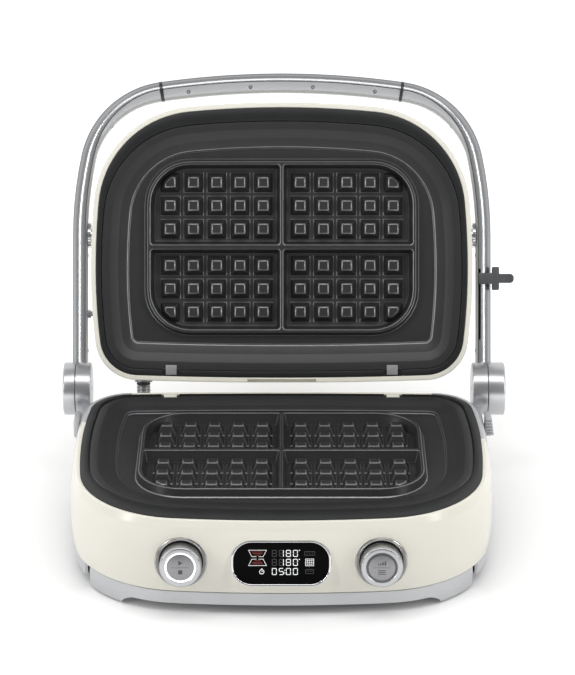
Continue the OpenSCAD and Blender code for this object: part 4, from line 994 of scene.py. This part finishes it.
for i in range(guard["bendSteps"] + guard["straightSteps"]):
    if i < guard["bendSteps"]:
        geom = bmesh.ops.spin(bm, geom=geom, cent=(guard["x"], guard["bendY"], topZ), axis=(1, 0, 0),
                              angle=math.radians(90 / guard["bendSteps"]), steps=1)["geom_last"]
    else:
        geom = bmesh.ops.extrude_edge_only(bm, edges=edgesOf(geom))["geom"]
        moved = vertsOf(geom)
        bmesh.ops.translate(bm, vec=(0, 0, guard["pitch"]), verts=moved)
        geom = moved + edgesOf(geom)
    swellRing(bm, geom, (guard["swell"], 1 / guard["swell"], 1)[i % 3])
bmesh.ops.edgeloop_fill(bm, edges=[e for e in bm.edges if e.is_boundary and e.verts[0].co.z > topZ])
cableGuard = finishPiece("CableGuard", bm, baseSpace, None, "guard_grey", conduitSteel, "cable_guard", sharp=50)
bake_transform(cableGuard)
bm = bmesh.new()
lathe(bm, [(7.3, 3.5), (8.2, 3.3), (8.9, 2.6), (8.9, -4), (7.3, -4)], 40,
      moveBy(guard["x"], -7.5, guard["z"]) @ turnBy(-90, "X"))
finishPiece("BaseGland", bm, baseSpace, "base", "dark_plastic", innerPlastic, "base_gland")
bm = bmesh.new()
lathe(bm, [(7.6, 3.2), (7.8, 2.9), (8.4, 2.9), (9.0, 3.5), (9.0, 5.5), (7.6, 5.5)], 40,
      moveBy(guard["x"], guard["lidY"], guard["lidZ"]) @ turnBy(90, "X"))
finishPiece("LidGland", bm, lidSpace, "lid", "guard_grey", conduitSteel, "lid_gland")
print("guard ready")


# Controls

knobSize = {"ring": 24, "cap": 19.2, "out": 17, "light": 14.2, "button": 12.5}
rim, cap, out, light, button = knobSize.values()
knobParts = {
    "KnobRing": [(rim, -10), (rim, 1.5), (rim - 0.2, 2.1), (rim - 0.7, 2.5), (rim - 1.3, 2.45), (cap + 0.9, 0.6),
                 (cap + 0.8, 0.2), (cap + 0.8, -10)],
    "Knob": [(light + 0.1, -9.9), (cap - 1, -9.9), (cap - 1, 0.4), (cap, 0.8), (cap, out - 2.4),
             (cap - 0.15, out - 1.5), (cap - 0.6, out - 0.6), (cap - 1.3, out - 0.1), (cap - 1.8, out),
             (light + 0.5, out), (light + 0.1, out - 0.3)],
    "LightRing": [(button + 0.15, -19.9), (light, -19.9), (light, out - 0.7), (light - 0.3, out - 0.4),
                  (button + 0.4, out - 0.4), (button + 0.15, out - 0.7)],
    "Button": [(0, -18.5), (3, -18.5), (3, out - 4.4), (button, out - 4.4), (button, out - 0.9),
               (button - 0.25, out - 0.5), (button - 0.9, out - 0.35), (0, out - 0.5)]}
for side, s in (("left", -1), ("right", 1)):
    space = panelSpace(s * panel["knobX"])
    spunCap = spunFinish(side + "SpunAluminium", space, "#B4B5B7", 0.7)
    spunFace = spunFinish(side + "ButtonFace", space, "#8C8C8E", 0.6)
    lamp, opal = ("light_white", opalLit) if side == "left" else ("light_grey", opalUnlit)
    for name, node, steps, body, slot, finish in (
            ("KnobRing", "_knob_ring", 96, "base", "chrome", satinChrome),
            ("Knob", "_knob", 96, side + "_knob", "knob_metal", spunCap),
            ("LightRing", "_light_ring", 72, "base", lamp, opal),
            ("Button", "_button", 72, side + "_button", "button_grey", spunFace)):
        bm = bmesh.new()
        lathe(bm, knobParts[name], steps)
        finishSide(side, name, bm, space, body, slot, finish, node, flip=False)
    # plain play and stop signs on the left button, level bars on the right one
    bm = bmesh.new()
    z = out - 0.52
    cuboid(bm, (-8, -0.15, z), (8, 0.15, z + 0.2))
    if s < 0:
        made = bmesh.ops.create_circle(bm, cap_ends=True, segments=3, radius=2.6)["verts"]
        bmesh.ops.transform(bm, matrix=moveBy(-0.4, 4.4, z) @ turnBy(30, "Z"), verts=made)
        top = bmesh.ops.extrude_face_region(bm, geom=list({f for v in made for f in v.link_faces}))["geom"]
        bmesh.ops.translate(bm, vec=(0, 0, 0.2), verts=vertsOf(top))
        cuboid(bm, (-1.9, -6.3, z), (1.9, -2.5, z + 0.2))
    else:
        for i in range(4):
            cuboid(bm, (-3.9 + 2.1 * i, 2.3, z), (-2.5 + 2.1 * i, 3.4 + 0.95 * i, z + 0.2))
        for i in range(3):
            cuboid(bm, (-3.4, -3.1 - 1.7 * i, z), (3.4, -2.4 - 1.7 * i, z + 0.2))
    finishPiece(side.title() + "ButtonSigns", bm, space, side + "_button", "dark_plastic", leverNylon)
print("knobs ready")

window = {"w": displaySize["w"] - 2 * displaySize["border"], "h": displaySize["h"] - 2 * displaySize["border"],
          "top": 5, "ink": 0.14}
endRadius = displaySize["h"] / 2 - 3
bm = bmesh.new()
edge = [roundedLoop(bm, displaySize["w"] - 2 * i, displaySize["h"] - 2 * i, endRadius - i, z, segments=14)
        for i, z in ((0, -4), (0, 5.2), (0.25, 5.75), (0.8, 6), (1.6, 5.7), (2.0, 5.2), (2.1, 4.9), (2.1, -4))]
bridge(bm, edge, closed=True)
finishPiece("DisplayBezel", bm, panelSpace(), "base", "chrome", chromePlate, "display_bezel")
bm = bmesh.new()
roundedBlock(bm, window["w"], window["h"], endRadius - 2.1, [(0.1, 1), (0.1, 4.6), (0.35, 4.95), (0.8, 5)], segments=14)
finishPiece("DisplayWindow", bm, panelSpace(), "base", "display_glass", windowAcrylic, "display_window")

digit = {"w": 4.4, "h": 6.6, "bar": 0.64}
litSegments = {"0": "abcdef", "1": "bc", "5": "acdfg", "8": "abcdefg", " ": ""}


def printBar(bm, x0, y0, x1, y1):
    # a raised printed bar between two points on the window
    z = window["top"]
    cuboid(bm, (x0, y0, z - 0.05), (x1, y1, z + window["ink"]), bevel=0.06, segments=1)


def segmentBars(bm, x, y, letters):
    w, h, b = digit["w"] / 2, digit["h"] / 2, digit["bar"]
    spots = {"a": (-w + b, h - b, w - b, h), "g": (-w + b, -b / 2, w - b, b / 2), "d": (-w + b, -h, w - b, -h + b),
             "f": (-w, b * 0.4, -w + b, h - b * 0.5), "b": (w - b, b * 0.4, w, h - b * 0.5),
             "e": (-w, -h + b * 0.5, -w + b, -b * 0.4), "c": (w - b, -h + b * 0.5, w, -b * 0.4)}
    for letter in letters:
        x0, y0, x1, y1 = spots[letter]
        printBar(bm, x + x0, y + y0, x + x1, y + y1)


def slantBar(bm, start, end, wide):
    start, end = Vector(start), Vector(end)
    turn = math.atan2(end.y - start.y, end.x - start.x)
    space = moveBy(*start, window["top"]) @ Matrix.Rotation(turn, 4, "Z")
    cuboid(bm, (-wide / 2, -wide / 2, -0.05), ((end - start).length + wide / 2, wide / 2, window["ink"]), space=space)


rows = {"upper": 9.7, "lower": 1.1, "timer": -7.7}
columns = (-6.2, 0.2, 6.6, 13.0)
lit, dim, red = bmesh.new(), bmesh.new(), bmesh.new()
for row, value in (("upper", " 180"), ("lower", " 180"), ("timer", "0500")):
    for x, mark in zip(columns, value):
        segmentBars(lit, x, rows[row], litSegments[mark])
        if row != "timer":
            segmentBars(dim, x, rows[row], [c for c in "abcdefg" if c not in litSegments[mark]])
for y in (1.3, -1.3):
    printBar(lit, 3.0, rows["timer"] + y - 0.4, 3.8, rows["timer"] + y + 0.4)
for row in ("upper", "lower"):
    # two plates facing each other, with red heat bars
    s = 1 if row == "upper" else -1
    y = rows[row]
    for a, b in (((-29.6, 3.1), (-13.3, 3.1)), ((-29.6, 3.1), (-26.6, -3.1)), ((-13.3, 3.1), (-16.3, -3.1)),
                 ((-26.6, -3.1), (-22.6, -3.1)), ((-20.3, -3.1), (-16.3, -3.1))):
        slantBar(lit, (a[0], a[1] * s + y), (b[0], b[1] * s + y), 0.36)
    for height, half in ((1.4, 5.0), (-0.1, 4.4), (-1.6, 2.8)):
        printBar(red, -21.45 - half, y + s * height - 0.15, -21.45 + half, y + s * height + 0.15)
    printBar(lit, 16.1, y + 2.5, 17.1, y + 3.3)


def iconFrame(bm, x, y, w, h, bar=0.5):
    for x0, y0, x1, y1 in ((-w, h - bar, w, h), (-w, -h, w, -h + bar), (-w, -h, -w + bar, h), (w - bar, -h, w, h)):
        printBar(bm, x + x0, y + y0, x + x1, y + y1)


iconFrame(dim, 25.9, rows["upper"], 4.9, 2.0)
for i in range(-1, 2):
    printBar(dim, 25.7 + i * 2.4, rows["upper"] - 1.1, 26.1 + i * 2.4, rows["upper"] + 1.1)
iconFrame(lit, 25.9, rows["lower"], 3.9, 3.5, 0.45)
for i in (-1, 0, 1):
    printBar(lit, 25.75 + i * 1.9, rows["lower"] - 2.7, 26.05 + i * 1.9, rows["lower"] + 2.7)
    printBar(lit, 22.8, rows["lower"] - 0.15 + i * 1.7, 29.0, rows["lower"] + 0.15 + i * 1.7)
iconFrame(dim, 25.9, rows["timer"], 3.9, 2.2)
printBar(dim, 22.8, rows["timer"] + 0.2, 29.0, rows["timer"] + 0.6)
lathe(lit, [(1.75, -0.05), (2.3, -0.05), (2.3, window["ink"]), (1.75, window["ink"])], 24,
      moveBy(-17.6, rows["timer"] - 0.3, window["top"]))
slantBar(lit, (-17.6, rows["timer"] - 0.3), (-16.7, rows["timer"] + 0.6), 0.45)
printBar(lit, -18.2, rows["timer"] + 2.2, -17.0, rows["timer"] + 2.9)
for name, made, finish in (("DisplayLit", lit, inkWhite), ("DisplayDim", dim, inkDim), ("DisplayRed", red, inkRed)):
    finishPiece(name, made, panelSpace(), "base", "display_glass", finish)
print("display ready")

# A rubber gland stands for the mains inlet at the rear
inlet = {"x": 110, "z": 16.8, "y": skirt["grow"] - baseForm["rear"] + 0.3}
bm = bmesh.new()
lathe(bm, [(3.6, 3), (5.4, 3), (6.2, 2.2), (6.2, 0), (3.6, 0)], 40,
      moveBy(inlet["x"], inlet["y"], inlet["z"]) @ turnBy(-90, "X"))
finishPiece("CordGland", bm, baseSpace, "base", "rubber", footRubber, "cord_gland")

# The inner and flat CAD pieces keep their own shape and take a finish
carried = {"bottom_plate": innerPlastic, "lower_heater_tray": pressedSteel, "upper_heater_tray": pressedSteel,
           "lower_heating_element": heaterSteel, "upper_heating_element": heaterSteel, "tray_posts": platedSteel,
           "post_screws": platedSteel, "display_module": innerPlastic, "control_board": boardMask,
           "power_board": boardMask, "left_encoder": innerPlastic, "right_encoder": innerPlastic,
           "hinge_pins": platedSteel, "friction_washers": platedSteel, "release_lever_pin": platedSteel}
for name, finish in carried.items():
    node = frame["nodes"][name]
    node.data.materials.clear()
    node.data.materials.append(finish)

# Floor, light and camera

floor = bpy.data.meshes.new("Floor")
bm = bmesh.new()
bmesh.ops.create_grid(bm, x_segments=1, y_segments=1, size=6)
bm.to_mesh(floor)
bm.free()
newObject("Floor", floor)
paper = bpy.data.materials.new("whiteSweep")
paper.use_nodes = True
tree = paper.node_tree
shader = tree.nodes["Principled BSDF"]
shader.inputs["Base Color"].default_value = hexColour("#F4F4F4")
shader.inputs["Roughness"].default_value = 0.9
shader.inputs["Emission Color"].default_value = (1, 1, 1, 1)
# the camera sees the sweep lit to an even white further out, and its shadow near the feet
glowRange = {"From Min": 0.2, "From Max": 0.5, "To Min": 0.03, "To Max": 0.5}
spot = addNode(tree, "TexCoord")
middle = addNode(tree, "VectorMath", {"operation": "LENGTH"}, {"Vector": spot.outputs["Object"]})
lift = addNode(tree, "MapRange", glowRange, {"Value": middle.outputs["Value"]})
ray = addNode(tree, "LightPath")
mirrorRay = addNode(tree, "Math", {"operation": "MAXIMUM"},
                    {0: ray.outputs["Is Glossy Ray"], 1: ray.outputs["Is Transmission Ray"]})
seenRay = addNode(tree, "Math", {"operation": "MAXIMUM"},
                  {0: ray.outputs["Is Camera Ray"], 1: mirrorRay.outputs["Value"]})
glow = addNode(tree, "Math", {"operation": "MULTIPLY"}, {0: seenRay.outputs["Value"], 1: lift.outputs["Result"]})
tree.links.new(glow.outputs["Value"], shader.inputs["Emission Strength"])
floor.materials.append(paper)

world = bpy.data.worlds.new("Studio")
bpy.context.scene.world = world
world.use_nodes = True
tree = world.node_tree
back = tree.nodes["Background"]
back.inputs["Color"].default_value = (1, 1, 1, 1)
# a white sweep behind the appliance, an unlit room in front of it and a dim ceiling
way = addNode(tree, "TexCoord")
parts = addNode(tree, "SeparateXYZ", None, {"Vector": way.outputs["Generated"]})
sweep = addNode(tree, "MapRange", {"From Min": -0.3, "From Max": 0.2, "To Min": 0.25, "To Max": 1.0},
                {"Value": parts.outputs["Y"]})
roof = addNode(tree, "MapRange", {"From Min": 0.8, "From Max": 0.92}, {"Value": parts.outputs["Z"]})
room = addNode(tree, "Mix", {"B": 0.42}, {"Factor": roof.outputs["Result"], "A": sweep.outputs["Result"]})
ray = addNode(tree, "LightPath")
level = addNode(tree, "Mix", {"B": 1.0}, {"Factor": ray.outputs["Is Camera Ray"], "A": room.outputs["Result"]})
tree.links.new(level.outputs["Result"], back.inputs["Strength"])

# two tall soft strips and a ceiling panel: place, size and power
studio = {"key": ((-1.5, -1.0, 1.0), (0.14, 1.4), 10.5), "fill": ((1.5, -1.0, 1.0), (0.14, 1.4), 9.5),
          "top": ((0.0, -0.62, 1.75), (2.2, 0.6), 14)}
for name, (place, size, power) in studio.items():
    data = bpy.data.lights.new(name, "AREA")
    data.shape, data.size, data.size_y, data.energy = "RECTANGLE", size[0], size[1], power
    lamp = newObject(name, data)
    lamp.location = place
    lamp.rotation_euler = (Vector((0, 0, 0.15)) - Vector(place)).to_track_quat("-Z", "Y").to_euler()

view = {"lens": 149.33, "aside": 5.8, "away": 2565, "height": 1241, "down": 23.05}
data = bpy.data.cameras.new("Camera")
data.lens, data.sensor_width = view["lens"], 36
camera = newObject("Camera", data)
camera.location = (hingePoint.x + view["aside"] * mm, hingePoint.y - view["away"] * mm, view["height"] * mm)
camera.rotation_euler = (math.radians(90 - view["down"]), 0, 0)
bpy.context.scene.camera = camera
bpy.context.scene.view_settings.view_transform = "Standard"
